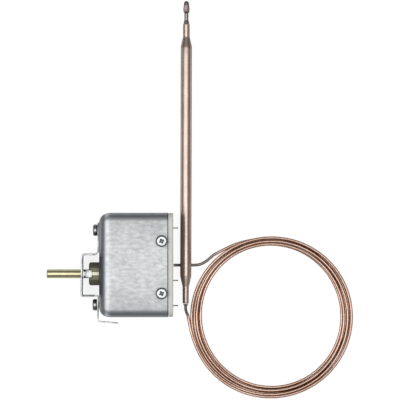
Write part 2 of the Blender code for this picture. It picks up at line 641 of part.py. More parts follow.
def make_lever(steel, brass):
    """The main lever on its pin, with the seat for the spring and the trimming screw."""
    half = FRAME_INNER_DEPTH / 2 - LEVER_SIDE_PLAY
    foot = LEVER_FOOT_WIDTH / 2
    top = PIVOT_Y + EAR_RADIUS
    waist = AXIS_Y - SPRING_DIAMETER / 2
    right = [(LEVER_BOTTOM, foot), (waist, foot), (waist + half, half), (top, half)]
    outline = [(y, AXIS_Z - z) for y, z in right] + [(y, AXIS_Z + z) for y, z in right[::-1]]
    lever = prism("main_lever", outline, LEVER_FRONT, LEVER_BACK, "YZ", steel)
    sides = ((AXIS_Z - half, AXIS_Z - half + SHEET), (AXIS_Z + half - SHEET, AXIS_Z + half))
    for i, (low, high) in enumerate(sides):
        ear = rounded_rectangle((LEVER_BACK - PIVOT_X + EAR_RADIUS) / 2, EAR_RADIUS, 0.4 * EAR_RADIUS,
                                ((LEVER_BACK + PIVOT_X - EAR_RADIUS) / 2, PIVOT_Y), steps=3)
        add(lever, prism(f"lever_ear_{i}", ear, low, high, "XY"))
    add(lever, rod("lever_spring_seat", LEVER_FRONT - 1.4 * MM, LEVER_BACK - SHEET / 2,
                   SPRING_DIAMETER / 2 - SPRING_WIRE - 2 * GAP, on_spindle(), "X", sides=24))
    pivot = (PIVOT_X, PIVOT_Y, 0)
    cut(lever, rod("lever_pin_holes", 0.0, CAN_DEPTH, PIVOT_DIAMETER / 2 + GAP, pivot, "Z", sides=20))
    cut(lever, rod("lever_trim_hole", LEVER_FRONT - GAP, LEVER_BACK + GAP, TRIM_SCREW_DIAMETER / 2 + GAP,
                   (0, PUSH_Y, AXIS_Z), "X", sides=20))
    pin = PIVOT_DIAMETER / 2
    low = LEG_LOW - SHEET - GAP
    high = LEG_HIGH + SHEET + GAP
    below = low - PIVOT_HEAD
    above = high + PIVOT_HEAD
    profile = [(below, 0.0), (below, pin + 0.5 * MM), (low, pin + 0.7 * MM), (low, pin),
               (high, pin), (high, pin + 0.9 * MM), (above, pin + 0.7 * MM), (above, 0.0)]
    lathe("lever_pin", profile, pivot, "Z", steel, sides=20)
    shank = TRIM_SCREW_DIAMETER / 2
    head = LEVER_FRONT - GAP
    front = head - TRIM_SCREW_HEAD
    profile = [(front, 0.0), (front, shank + 1.0 * MM), (head, shank + 1.25 * MM), (head, shank),
               (TRIM_TIP - 0.4 * MM, shank), (TRIM_TIP, 0.6 * shank), (TRIM_TIP, 0.0)]
    screw = lathe("trim_screw", profile, (0, PUSH_Y, AXIS_Z), "X", brass, sides=20)
    slot = 0.35 * MM
    cut(screw, box("trim_slot", (front - GAP, front + 0.4 * TRIM_SCREW_HEAD), (PUSH_Y - slot, PUSH_Y + slot),
                   (AXIS_Z - 2 * TRIM_SCREW_DIAMETER, AXIS_Z + 2 * TRIM_SCREW_DIAMETER)))


def make_capsule(bronze, steel, copper):
    """The corrugated diaphragm capsule, its button, nut and the capillary that feeds it."""
    r = CAPSULE_RADIUS
    f = CAPSULE_FRONT
    b = CAPSULE_BACK
    wave = 0.4 * MM
    rim = (f + b) / 2
    profile = [(f, 0.0), (f, 0.32 * r), (f + wave, 0.34 * r), (f + 2 * wave, 0.46 * r), (f + wave, 0.58 * r),
               (f + 2 * wave, 0.70 * r), (f + wave, 0.82 * r), (rim - wave, 0.95 * r), (rim - wave, r),
               (rim + wave, r), (rim + wave, 0.95 * r), (b - wave, 0.82 * r), (b, 0.70 * r), (b, 0.38 * r),
               (FLANGE_FRONT - GAP, 0.36 * r), (FLANGE_FRONT - GAP, CAPSULE_STUD / 2)]
    end = FLANGE_BACK + GAP + CAPSULE_NUT + 2 * GAP
    profile += [(end, CAPSULE_STUD / 2), (end, 0.0)]
    lathe("diaphragm_capsule", profile, (0, CAPSULE_Y, AXIS_Z), "X", bronze, sides=26)
    face = BUTTON_FRONT + BUTTON_LENGTH
    shoulder = BUTTON_FRONT + 0.55 * BUTTON_LENGTH
    neck = 0.62 * BUTTON_RADIUS
    profile = [(BUTTON_FRONT, 0.0), (BUTTON_FRONT, neck / 2), (BUTTON_FRONT + neck / 4, neck),
               (shoulder, neck), (shoulder, BUTTON_RADIUS), (face, BUTTON_RADIUS), (face, 0.0)]
    place = (0, CAPSULE_Y, AXIS_Z)
    lathe("push_button", profile, place, "X", steel, sides=20)
    nut_front = FLANGE_BACK + GAP
    nut_back = nut_front + CAPSULE_NUT
    corners = hexagon_radius(CAPSULE_NUT_FLATS)
    nut = rod("capsule_nut", nut_front, nut_back, corners, place, "X", steel, sides=6)
    cut(nut, rod("capsule_nut_bore", nut_front - GAP, nut_back + GAP, CAPSULE_STUD / 2 + GAP,
                 place, "X", sides=24))
    lean = math.radians(45)
    start = Vector((rim, CAPSULE_Y - (r + GAP) * math.cos(lean), AXIS_Z - (r + GAP) * math.sin(lean)))
    bend = BASE_BACK - rim
    route = [start, start + Vector((0.0, -2.4, -2.8)) * MM,
             (rim + 0.1 * bend, EXIT_Y + GAP, EXIT_Z + 4.5 * MM),
             (rim + 0.31 * bend, EXIT_Y, EXIT_Z + 0.8 * MM), (rim + 0.54 * bend, EXIT_Y, EXIT_Z),
             (BASE_BACK, EXIT_Y, EXIT_Z)]
    tube("capillary_inlet", smooth_route(route, 0.9 * CAPILLARY), CAPILLARY, copper)


def terminal(name, path, centre_z, brass):
    """A brass strip bent to a path in the XY plane, its outer end chamfered as a tab."""
    low = centre_z - TAB_WIDTH / 2
    high = centre_z + TAB_WIDTH / 2
    made = prism(name, strip_outline(path, STRIP, 0.5 * STRIP), low, high, "XY", brass)
    y = path[0][1]
    bite = 1.0 * MM
    for i, (edge, inwards) in enumerate(((low, 1), (high, -1))):
        outside = edge - inwards * GAP
        inside = edge + inwards * bite
        corner = [(TAB_TIP + GAP, outside), (TAB_TIP - bite, outside), (TAB_TIP - bite, edge),
                  (TAB_TIP, inside), (TAB_TIP + GAP, inside)]
        cut(made, prism(f"{name}_corner_{i}", corner, y - STRIP, y + STRIP, "XZ"))
    return made


def make_terminals(brass, silver):
    """The three terminals with their fixed contacts."""
    foot = BLADE_BACK + 1.5 * GAP + STRIP / 2
    turn_y = BLADE_ROOT_Y + FOOT_LENGTH
    path = [(TAB_TIP, COMMON_TAB_Y), (BUSBAR_X, COMMON_TAB_Y), (BUSBAR_X, turn_y), (foot, turn_y),
            (foot, BLADE_ROOT_Y - 2.2 * RIVET_RADIUS)]
    common = terminal("common_terminal", path, COMMON_Z, brass)
    cut(common, rod("common_rivet_hole", foot - STRIP, foot + STRIP, RIVET_RADIUS + GAP,
                    (0, BLADE_ROOT_Y, COMMON_Z), "X", sides=20))
    end_y = CONTACT_Y - CONTACT_RADIUS - CONTACT_MARGIN
    path = [(TAB_TIP, BREAK_TAB_Y), (BREAK_STRIP_X, BREAK_TAB_Y), (BREAK_STRIP_X, end_y)]
    strip = terminal("break_terminal", path, AXIS_Z, brass)
    around_pin = PUSH_PIN_DIAMETER / 2 + 2 * GAP
    cut(strip, rod("break_pin_hole", BREAK_STRIP_X - STRIP, BREAK_STRIP_X + STRIP, around_pin,
                   (0, PUSH_Y, AXIS_Z), "X", sides=24))
    end_y = CONTACT_Y + CONTACT_RADIUS + CONTACT_MARGIN
    path = [(TAB_TIP, MAKE_TAB_Y), (MAKE_STRIP_X, MAKE_TAB_Y), (MAKE_STRIP_X, end_y)]
    terminal("make_terminal", path, AXIS_Z, brass)
    place = (0, CONTACT_Y, AXIS_Z)
    for side, low, high in (("break", BREAK_FACE - CONTACT_THICKNESS, BREAK_FACE),
                            ("make", MAKE_FACE, MAKE_FACE + CONTACT_THICKNESS)):
        rod(f"{side}_contact", low, high, CONTACT_RADIUS, place, "X", silver, sides=20)
    return foot


def make_switch(bronze, silver, steel, ceramic, foot):
    """The contact blade on its rivet, the moving contact and the push pin."""
    root = BLADE_ROOT_Y
    high = COMMON_Z + TAB_WIDTH / 2
    low = AXIS_Z - TAB_WIDTH / 2 + 0.5 * MM
    arm = AXIS_Z + TAB_WIDTH / 2 - 0.5 * MM
    end = CONTACT_Y - CONTACT_RADIUS
    flag = COMMON_Z - TAB_WIDTH / 2
    half = 2 * RIVET_RADIUS
    outline = [(end - 0.7 * MM, low + 1.0 * MM), (end, low), (root + 0.4 * half, low),
               (root + 0.4 * half, flag), (root + half, flag), (root + half, high), (root - half, high),
               (root - 1.35 * half, arm), (end, arm), (end - 0.7 * MM, arm - 1.0 * MM)]
    blade = prism("contact_blade", outline, BLADE_FRONT, BLADE_BACK, "YZ", bronze)
    through = (BLADE_FRONT - GAP, BLADE_BACK + GAP)
    stem = 0.5 * CONTACT_RADIUS
    rivet_place = (0, root, COMMON_Z)
    contact_place = (0, CONTACT_Y, AXIS_Z)
    cut(blade, rod("blade_rivet_hole", *through, RIVET_RADIUS + 1.5 * GAP, rivet_place, "X", sides=20))
    cut(blade, rod("blade_contact_hole", *through, stem + GAP, contact_place, "X", sides=20))
    profile = [(MOVING_FRONT, 0.0), (MOVING_FRONT, CONTACT_RADIUS), (through[0], CONTACT_RADIUS),
               (through[0], stem), (through[1], stem), (through[1], CONTACT_RADIUS),
               (MOVING_BACK, CONTACT_RADIUS), (MOVING_BACK, 0.0)]
    lathe("moving_contact", profile, contact_place, "X", silver, sides=20)
    front = BLADE_FRONT - 1.5 * GAP
    back = foot + STRIP / 2 + GAP
    tall = 0.65 * RIVET_RADIUS
    profile = [(front - tall, 0.0), (front - tall, 0.85 * half), (front, half), (front, RIVET_RADIUS),
               (back, RIVET_RADIUS), (back, half), (back + tall, 0.85 * half), (back + tall, 0.0)]
    lathe("blade_rivet", profile, rivet_place, "X", steel, sides=20)
    shank = PUSH_PIN_DIAMETER / 2
    wide = shank + PUSH_PIN_SHOULDER
    head = TRIM_TIP + GAP
    shoulder = GUIDE_FRONT - GAP
    tip = BLADE_FRONT - GAP
    profile = [(head, 0.0), (head, wide - 0.2 * MM), (head + 0.2 * MM, wide), (shoulder, wide),
               (shoulder, shank), (tip - 0.8 * MM, shank), (tip - 0.2 * MM, 0.6 * shank), (tip, 0.0)]
    lathe("push_pin", profile, (0, PUSH_Y, AXIS_Z), "X", ceramic, sides=20)


def make_bracket(plated):
    """The folded strap: two ears on the can's front, a hat round the bush, and the earth tab."""
    low_x = EAR_X - GAP
    tab_end = (low_x + EARTH_TAB_LENGTH * math.cos(EARTH_TAB_DROP),
               BRACKET_FOOT - EARTH_TAB_LENGTH * math.sin(EARTH_TAB_DROP))
    path = [(EAR_X, BRACKET_TOP), (EAR_X, HAT_TOP + HAT_BEVEL), (EAR_X - HAT_BEVEL, HAT_TOP),
            (HAT_X, HAT_TOP), (HAT_X - HAT_LEAN, HAT_BOTTOM), (low_x, HAT_BOTTOM), (low_x, BRACKET_FOOT),
            tab_end]
    low = AXIS_Z - HAT_WIDTH / 2
    high = AXIS_Z + HAT_WIDTH / 2
    outline = strip_outline(path, BRACKET_SHEET, 0.4 * BRACKET_SHEET)
    bracket = prism("mounting_bracket", outline, low, high, "XY", plated)
    ear = EAR_WIDTH / 2
    tab = TAB_WIDTH / 2
    ear_x = (EAR_X - HAT_BEVEL - BRACKET_SHEET, CAN_OPEN)
    upper = (HAT_TOP - BRACKET_SHEET, BRACKET_TOP + CAN_WALL)
    lower = (BRACKET_FOOT - 5.0 * MM, HAT_BOTTOM + BRACKET_SHEET)
    foot = (BRACKET_FOOT - 5.0 * MM, -CAN_HEIGHT / 2)
    for i, sign in enumerate((-1, 1)):
        side = sorted((AXIS_Z + sign * ear, AXIS_Z + sign * CAN_DEPTH))
        edge = sorted((AXIS_Z + sign * tab, AXIS_Z + sign * CAN_DEPTH))
        cut(bracket, box(f"bracket_upper_ear_{i}", ear_x, upper, side))
        cut(bracket, box(f"bracket_lower_ear_{i}", ear_x, lower, side))
        cut(bracket, box(f"bracket_earth_tab_{i}", ear_x, foot, edge))
    for i, y in enumerate(FRONT_SCREW_YS):
        cut(bracket, rod(f"bracket_ear_hole_{i}", EAR_X - 2 * BRACKET_SHEET, EAR_X + 2 * BRACKET_SHEET,
                         SCREW_SHANK / 2 + GAP, (0, y, AXIS_Z), "X", sides=24))
    face = (HAT_X - 3 * BRACKET_SHEET, HAT_X + 2 * BRACKET_SHEET)
    middle = (HAT_TOP + HAT_BOTTOM) / 2
    for i, sign in enumerate((-1, 1)):
        cut(bracket, rod(f"bracket_panel_hole_{i}", *face, PANEL_HOLE / 2,
                         (0, middle, AXIS_Z + sign * PANEL_HOLE_SPACING / 2), "X", sides=24))
    cut(bracket, rod("bracket_spindle_hole", *face, SPINDLE_DIAMETER / 2 + 1.0 * MM, on_spindle(), "X"))
    slot = TONGUE_WIDTH / 2 + GAP
    bend_z = AXIS_Z + SPINDLE_DIAMETER / 2 + 1.2 * MM
    cut(bracket, box("bracket_window", face, (AXIS_Y - slot, AXIS_Y + slot), (AXIS_Z, bend_z)))
    half = TONGUE_WIDTH / 2
    tongue = box("bracket_tongue", (HAT_X - HAT_LEAN / 4, TONGUE_TIP), (AXIS_Y - half, AXIS_Y + half),
                 (bend_z, bend_z + BRACKET_SHEET))
    add(bracket, tongue)
    notch = 1.3 * MM
    for i, sign in enumerate((-1, 1)):
        side = sorted((AXIS_Y + sign * (half - notch), AXIS_Y + sign * (half + GAP)))
        cut(bracket, box(f"bracket_tongue_notch_{i}", (HAT_X + 0.9 * MM, HAT_X + 2.3 * MM), side,
                         (bend_z - GAP, bend_z + 2 * BRACKET_SHEET)))
    eye = BRACKET_FOOT - 0.7 * EARTH_TAB_LENGTH * math.sin(EARTH_TAB_DROP)
    cut(bracket, rod("bracket_earth_eye", eye - 2 * MM, eye + 2 * MM, 0.85 * MM,
                     (low_x + 0.7 * EARTH_TAB_LENGTH, 0, AXIS_Z), "Y", sides=16))


def pan_screw(name, length, place, axis, towards, steel):
    """A pan-head screw whose head stands towards one end of an axis, with a cross recess."""
    head = SCREW_HEAD / 2
    tall = SCREW_HEAD_HEIGHT
    shank = SCREW_SHANK / 2
    profile = [(tall, 0.0), (tall, 0.45 * head), (0.9 * tall, 0.72 * head), (0.68 * tall, 0.9 * head),
               (0.35 * tall, 0.985 * head), (0.0, head), (0.0, shank), (-length + 0.5 * MM, shank),
               (-length, 0.75 * shank), (-length, 0.0)]
    profile = [(towards * station, radius) for station, radius in profile]
    made = lathe(name, profile, place, axis, steel, sides=28)
    arm = 0.5 * head
    slit = 0.11 * head
    for i, (a, b) in enumerate(((arm, slit), (slit, arm))):
        bm = bmesh.new()
        bmesh.ops.create_cube(bm, size=2.0)
        depth = 0.3 * tall
        bm.transform(Matrix.Diagonal((a, b, depth, 1.0)))
        for vert in bm.verts:
            if vert.co.z * towards < 0:
                vert.co.x *= 0.6
                vert.co.y *= 0.6
        bm.transform(Matrix.Translation((0, 0, towards * tall)))
        bm.transform(axis_matrix(axis, place))
        cut(made, finish_mesh(f"{name}_recess_{i}", bm, None, smooth=False))
    return made


def make_screws(zinc, steel):
    """Two screws hold the bracket in threaded inserts, two more hold the can to the base."""
    under_head = EAR_X - BRACKET_SHEET / 2 - GAP
    insert_front = INNER_FRONT + GAP
    for place, y in zip(("upper", "lower"), FRONT_SCREW_YS):
        seat = under_head if place == "upper" else under_head - GAP
        pan_screw(f"front_screw_{place}", SCREW_LENGTH, (seat, y, AXIS_Z), "X", -1, zinc)
        insert = rod(f"screw_insert_{place}", insert_front, insert_front + INSERT_LENGTH, INSERT_DIAMETER / 2,
                     (0, y, AXIS_Z), "X", steel, sides=24)
        cut(insert, rod(f"insert_bore_{place}", insert_front - GAP, insert_front + INSERT_LENGTH + GAP,
                        SCREW_SHANK / 2 + GAP, (0, y, AXIS_Z), "X", sides=24))
    for place, y in zip(("upper", "lower"), SIDE_SCREW_YS):
        pan_screw(f"side_screw_{place}", SCREW_LENGTH, (SIDE_SCREW_X, y, CAN_DEPTH + GAP), "Z", 1, zinc)


def bulb_place():
    """Turn the bulb's own length onto Y: it lies on the capillary and on its own far end."""
    turn = Matrix.Rotation(-BULB_LEAN, 4, "Z") @ Matrix.Rotation(-BULB_TILT, 4, "X")
    lift = BULB_RADIUS + BULB_LIFT
    return Matrix.Translation((BULB_X, EXIT_Y, lift)) @ turn @ axis_matrix("Y", (0, -EXIT_Y, 0))


def make_bulb(copper, solder):
    """The swaged bulb, its crimped charging tube and the two brazed ends."""
    place = bulb_place()
    r = BULB_RADIUS
    soft = 0.15 * MM
    foot = BULB_START - LOWER_CONE
    low = foot - LOWER_COLLAR
    neck = BULB_END + UPPER_CONE
    high = neck + UPPER_COLLAR
    tube_radius = CHARGING_TUBE / 2
    profile = [(low, 0.0), (low, LOWER_RADIUS - 2 * soft), (low + 2 * soft, LOWER_RADIUS),
               (foot - 0.9 * MM, LOWER_RADIUS), (foot, LOWER_RADIUS + soft),
               (BULB_START - 1.0 * MM, r - soft), (BULB_START, r), (BULB_END, r),
               (BULB_END + 0.8 * MM, r - soft),
               (neck - 0.8 * MM, UPPER_RADIUS + soft), (neck, UPPER_RADIUS),
               (high - 1.6 * MM, UPPER_RADIUS), (high - 0.8 * MM, UPPER_RADIUS - 3 * soft),
               (high, tube_radius + soft), (high, 0.0)]
    bulb = lathe("probe_bulb", profile, (0, 0, 0), "Z", copper, sides=26)
    bulb.data.transform(place)
    end = make_charging_tube(place, high + GAP, copper)
    bead = end + GAP
    wide = tube_radius + GAP
    profile = [(bead, 0.0), (bead + 0.07 * BEAD, 0.65 * wide), (bead + 0.32 * BEAD, 0.97 * wide),
               (bead + 0.6 * BEAD, wide), (bead + 0.86 * BEAD, 0.7 * wide), (bead + BEAD, 0.0)]
    tip = lathe("tip_braze", profile, (0, 0, 0), "Z", solder, sides=20)
    tip.data.transform(place)
    seam = low - GAP
    profile = [(seam, 0.0), (seam, LOWER_RADIUS - 0.4 * MM), (seam - 0.5 * SEAM, 1.35 * CAPILLARY / 2),
               (seam - SEAM, 1.05 * CAPILLARY / 2), (seam - SEAM, 0.0)]
    tail = lathe("tail_braze", profile, (0, 0, 0), "Z", solder, sides=20)
    tail.data.transform(place)
    return seam - SEAM - GAP


def make_charging_tube(place, low, copper):
    """A round tube pressed flat where it was pinched off: a flat place keeps most of its girth."""
    bm = bmesh.new()
    sides = 20
    stations = 12
    rings = []
    for k in range(stations + 1):
        share = k / stations
        press = math.sin(math.pi * min(max((share - 0.4) / 0.75, 0.0), 1.0)) ** 2
        thick = CHARGING_TUBE / 2 * (1 - 0.57 * press)
        wide = CHARGING_TUBE / 2 * (1 + 0.53 * press)
        ring = []
        for i in range(sides):
            angle = 2 * math.pi * i / sides
            height = low + CHARGING_LENGTH * share
            ring.append(bm.verts.new((wide * math.cos(angle), thick * math.sin(angle), height)))
        rings.append(ring)
    for first, second in zip(rings, rings[1:]):
        for i in range(sides):
            j = (i + 1) % sides
            bm.faces.new((first[i], first[j], second[j], second[i]))
    bm.faces.new(rings[0])
    bm.faces.new(rings[-1])
    bm.transform(place)
    finish_mesh("charging_tube", bm, copper)
    return low + CHARGING_LENGTH


def make_cord(copper, tail_start):
    """The free capillary: a lead under the bulb, the coil's outer shape and a short tail."""
    low = CAPILLARY / 2 + GAP / 4
    lead = [(BASE_BACK + GAP, EXIT_Y, EXIT_Z), (BASE_BACK + 1.8 * MM, EXIT_Y, EXIT_Z - 0.1 * MM),
            (BULB_X - 4.0 * MM, EXIT_Y, 2.35 * MM), (BULB_X - 0.6 * MM, EXIT_Y, 1.1 * MM),
            (40.4 * MM, -0.5 * MM, low), (45.6 * MM, 0.0, low), (50.1 * MM, 2.3 * MM, low),
            (53.6 * MM, 5.2 * MM, low), (56.6 * MM, 7.4 * MM, low)]
    tube("capillary_lead", smooth_route(lead, 2 * CAPILLARY), CAPILLARY, copper)
    middle = (COIL_INNER + COIL_OUTER) / 2
    half = (COIL_OUTER - COIL_INNER) / 2
    profile = rounded_rectangle(COIL_HEIGHT / 2, half, CAPILLARY / 2, (COIL_HEIGHT / 2, middle), steps=1)
    lathe("capillary_coil", profile, (*COIL_CENTRE, 0.0), "Z", copper, sides=64)
    start = bulb_place() @ Vector((0, 0, tail_start))
    onward = (bulb_place().to_3x3() @ Vector((0, 0, -1))) * 1.6 * MM
    tail = [start, start + onward, start + Vector((0.6 * MM, -4.2 * MM, -1.2 * MM)),
            start + Vector((1.5 * MM, -6.4 * MM, -2.2 * MM))]
    tube("capillary_tail", smooth_route(tail, CAPILLARY), CAPILLARY, copper)


def build():
    for old in list(bpy.data.objects):
        bpy.data.objects.remove(old, do_unlink=True)
    zinc_sheet = material("zinc_sheet", (0.55, 0.56, 0.58), 0.42, 0.9)
    plated = material("plated_strap", (0.72, 0.73, 0.75), 0.3, 1.0)
    screw_zinc = material("screw_zinc", (0.66, 0.67, 0.70), 0.3, 1.0)
    frame_steel = material("frame_steel", (0.48, 0.49, 0.50), 0.45, 1.0)
    spring_steel = material("spring_steel", (0.30, 0.30, 0.31), 0.35, 1.0)
    plastic = material("base_moulding", (0.62, 0.61, 0.57), 0.6, 0.0)
    brass = material("brass", (0.66, 0.56, 0.26), 0.3, 1.0)
    bush_brass = material("bush_brass", (0.42, 0.38, 0.18), 0.35, 1.0)
    bronze = material("spring_bronze", (0.60, 0.42, 0.22), 0.35, 1.0)
    silver = material("contact_silver", (0.80, 0.80, 0.78), 0.25, 1.0)
    ceramic = material("pin_ceramic", (0.82, 0.81, 0.77), 0.5, 0.0)
    copper = material("copper", (0.62, 0.36, 0.26), 0.32, 1.0)
    solder = material("braze", (0.20, 0.15, 0.11), 0.5, 1.0)
    make_can(zinc_sheet)
    make_base(plastic)
    make_bush(bush_brass)
    make_spindle(brass)
    make_stop(frame_steel)
    make_adjuster(brass, spring_steel)
    make_frame(frame_steel)
    make_lever(frame_steel, brass)
    make_capsule(bronze, frame_steel, copper)
    foot = make_terminals(brass, silver)
    make_switch(bronze, silver, frame_steel, ceramic, foot)
    make_bracket(plated)
    make_screws(screw_zinc, frame_steel)
    make_cord(copper, make_bulb(copper, solder))


build()
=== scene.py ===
"""The looks of a capillary thermostat that lies on one side of its can.

Lengths are in metres, written as millimetres times MM, in the frame of the solids: X from the
spindle's tip towards the terminals, Y towards the bulb's tip, Z up from the table.
"""
import math

import bpy
import numpy as np
from mathutils import Matrix


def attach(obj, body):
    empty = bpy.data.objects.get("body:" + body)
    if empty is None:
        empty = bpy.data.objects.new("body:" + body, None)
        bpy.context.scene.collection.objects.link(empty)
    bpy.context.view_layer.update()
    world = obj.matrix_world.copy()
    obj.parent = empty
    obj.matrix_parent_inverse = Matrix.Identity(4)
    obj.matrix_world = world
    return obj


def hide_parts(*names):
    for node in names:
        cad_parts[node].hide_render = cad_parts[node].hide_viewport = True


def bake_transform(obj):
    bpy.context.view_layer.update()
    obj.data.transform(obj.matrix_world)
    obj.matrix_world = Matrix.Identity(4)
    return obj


MM = 0.001
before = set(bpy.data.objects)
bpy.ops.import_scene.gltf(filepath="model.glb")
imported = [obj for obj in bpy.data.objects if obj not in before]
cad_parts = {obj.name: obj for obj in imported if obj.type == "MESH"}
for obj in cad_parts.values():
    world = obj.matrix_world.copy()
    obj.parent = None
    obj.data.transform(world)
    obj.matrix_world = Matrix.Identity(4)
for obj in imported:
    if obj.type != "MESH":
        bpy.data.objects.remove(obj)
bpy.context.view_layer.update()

# Sizes shared with the solids
CAN_FRONT = -23.6 * MM
CAN_OPEN = 23.6 * MM
CAN_HALF_Y = 35.8 * MM
CAN_DEPTH = 44.0 * MM
CAN_WALL = 1.0 * MM
CAN_EDGE_RADIUS = 6.0 * MM
CAN_NOSE_RADIUS = 7.0 * MM
AXIS_Y = -6.2 * MM
AXIS_Z = 22.0 * MM
SPINDLE_TIP = -60.0 * MM
SPINDLE_END = -6.0 * MM
SPINDLE_RADIUS = 3.0 * MM
SPINDLE_CHAMFER = 0.8 * MM
SPRING_FRONT = -9.2 * MM
SPRING_REAR = 3.5 * MM
SPRING_WIRE = 1.2 * MM
SPRING_RADIUS = 4.4 * MM
SPRING_TURNS = 6
SPRING_CLOSED_PITCH = 1.08 * SPRING_WIRE
HEX_FRONT = -30.8 * MM
HEX_BACK = -23.9 * MM
HEX_ACROSS_FLATS = 14.0 * MM
BASE_FRONT = 23.9 * MM
BASE_BACK = 27.1 * MM
BASE_SPIGOT = 16.5 * MM
TABS = ((25.4, 30.55), (-10.8, 22.0), (-28.1, 22.0))    # each tab's middle in Y and Z, in mm
FRONT_SCREWS = (("upper", 23.9 * MM, -24.95 * MM), ("lower", -27.6 * MM, -25.25 * MM))    # Y, and the seat's X
SIDE_SCREWS = (("upper", 16.5 * MM), ("lower", -19.4 * MM))    # Y
SIDE_SCREW_X = 19.4 * MM
SCREW_RADIUS = 4.0 * MM
SCREW_HEAD = 3.1 * MM
SCREW_CROWN = 2.7 * MM
SCREW_LENGTH = 6.0 * MM
SCREW_SHANK = 1.95 * MM
SCREW_HOLE = 2.25 * MM
CAPILLARY = 2.0 * MM
EXIT = np.array((27.4, -0.45, 3.5)) * MM
COIL_CENTRE = np.array((95.4, -36.05)) * MM
BULB_PLACE = (35.85 * MM, -0.45 * MM, 6.15 * MM)
BULB_TILT = 2.3 / 150.85
BULB_LEAN = math.radians(0.15)
BULB_START = -7.8 * MM
BULB_END = 150.4 * MM
TUBE_RADIUS = 1.4 * MM
TUBE_LENGTH = 12.3 * MM
SEAT = 0.05 * MM    # left between the bulb's brazed pieces
TIP_RADIUS = 1.75 * MM
TIP_LENGTH = 2.8 * MM
STRAP_SHEET = 1.0 * MM
STRAP_BEND = 0.9 * MM
STRAP_EDGE = 0.12 * MM

# Across the coil's band at each half turn: -1 at its inner edge, 1 at its outer one
WINDING = (1.0, 0.28, 0.22, -0.32, -1.0, -1.0, -1.0, -0.35, -0.18, 0.4, 1.0, 1.0, 1.0)


def calculate(tree, operation, *values):
    """A math node of one operation, fed by sockets or plain numbers. Gives back its result's socket."""
    node = tree.nodes.new("ShaderNodeMath")
    node.operation = operation
    for value, target in zip(values, node.inputs):
        if isinstance(value, float):
            target.default_value = value
        else:
            tree.links.new(value, target)
    return node.outputs[0]


# Camera, floor and light

def make_camera():
    """A long lens straight above, so that the can's sides don't show, as in the photograph."""
    field = 276.0 * MM
    plane = 20.0 * MM
    data = bpy.data.cameras.new("camera")
    data.lens = 500.0
    data.sensor_width = 36.0
    data.clip_end = 50.0
    camera = bpy.data.objects.new("camera", data)
    camera.location = (45.71 * MM, 44.68 * MM, field * data.lens / data.sensor_width + plane)
    bpy.context.collection.objects.link(camera)
    bpy.context.scene.camera = camera


def make_light():
    """A soft strip lamp overhead, wide along X, and a sky that dims towards the horizon."""
    data = bpy.data.lights.new("overhead", "AREA")
    data.shape = "RECTANGLE"
    data.size = 2.6
    data.size_y = 1.0
    data.energy = 17.0
    lamp = bpy.data.objects.new("overhead", data)
    lamp.location = (-0.5, -0.05, 1.6)
    bpy.context.collection.objects.link(lamp)
    world = bpy.data.worlds.new("studio")
    bpy.context.scene.world = world
    world.use_nodes = True
    nodes = world.node_tree.nodes
    links = world.node_tree.links
    where = nodes.new("ShaderNodeTexCoord")
    split = nodes.new("ShaderNodeSeparateXYZ")
    ramp = nodes.new("ShaderNodeValToRGB")
    links.new(where.outputs["Generated"], split.inputs[0])
    links.new(split.outputs["Z"], ramp.inputs[0])
    stops = ramp.color_ramp.elements
    stops[0].position = 0.0
    stops[0].color = (0.18, 0.19, 0.21, 1)
    stops[1].position = 1.0
    stops[1].color = (0.80, 0.81, 0.83, 1)
    middle = stops.new(0.40)
    middle.color = (0.22, 0.23, 0.26, 1)
    upper = stops.new(0.80)
    upper.color = (0.50, 0.51, 0.54, 1)
    links.new(ramp.outputs[0], nodes["Background"].inputs[0])


def make_floor():
    """A white table. Its own glow lifts it to white for the camera and in reflections, and leaves
    the shadow under the thermostat a little darker."""
    half = 6.0
    mesh = bpy.data.meshes.new("table")
    corners = [(-half, -half, 0), (half, -half, 0), (half, half, 0), (-half, half, 0)]
    mesh.from_pydata(corners, [], [(0, 1, 2, 3)])
    floor = bpy.data.objects.new("table", mesh)
    floor.location.z = -0.2 * MM
    bpy.context.collection.objects.link(floor)
    mat = bpy.data.materials.new("table_white")
    mat.use_nodes = True
    tree = mat.node_tree
    shader = tree.nodes["Principled BSDF"]
    shader.inputs["Base Color"].default_value = (0.28, 0.28, 0.28, 1)
    shader.inputs["Roughness"].default_value = 0.9
    shader.inputs["Specular IOR Level"].default_value = 0.1
    shader.inputs["Emission Color"].default_value = (1, 1, 1, 1)
    rays = tree.nodes.new("ShaderNodeLightPath").outputs
    glossy = calculate(tree, "MAXIMUM", rays["Is Glossy Ray"], rays["Is Transmission Ray"])
    seen = calculate(tree, "MAXIMUM", rays["Is Camera Ray"], glossy)
    tree.links.new(calculate(tree, "MULTIPLY", seen, 0.84), shader.inputs["Emission Strength"])
    mesh.materials.append(mat)


# Meshes from arrays

def mesh_object(name, points, faces, mat, sharp=35.0):
    """Make an object from arrays of points and faces, outward and smooth but for its sharp edges."""
    mesh = bpy.data.meshes.new(name)
    mesh.from_pydata(np.asarray(points).tolist(), [], faces)
    mesh.validate()
    mesh.materials.append(mat)
    mesh.shade_smooth()
    mesh.set_sharp_from_angle(angle=math.radians(sharp))
    made = bpy.data.objects.new(name, mesh)
    bpy.context.collection.objects.link(made)
    return made


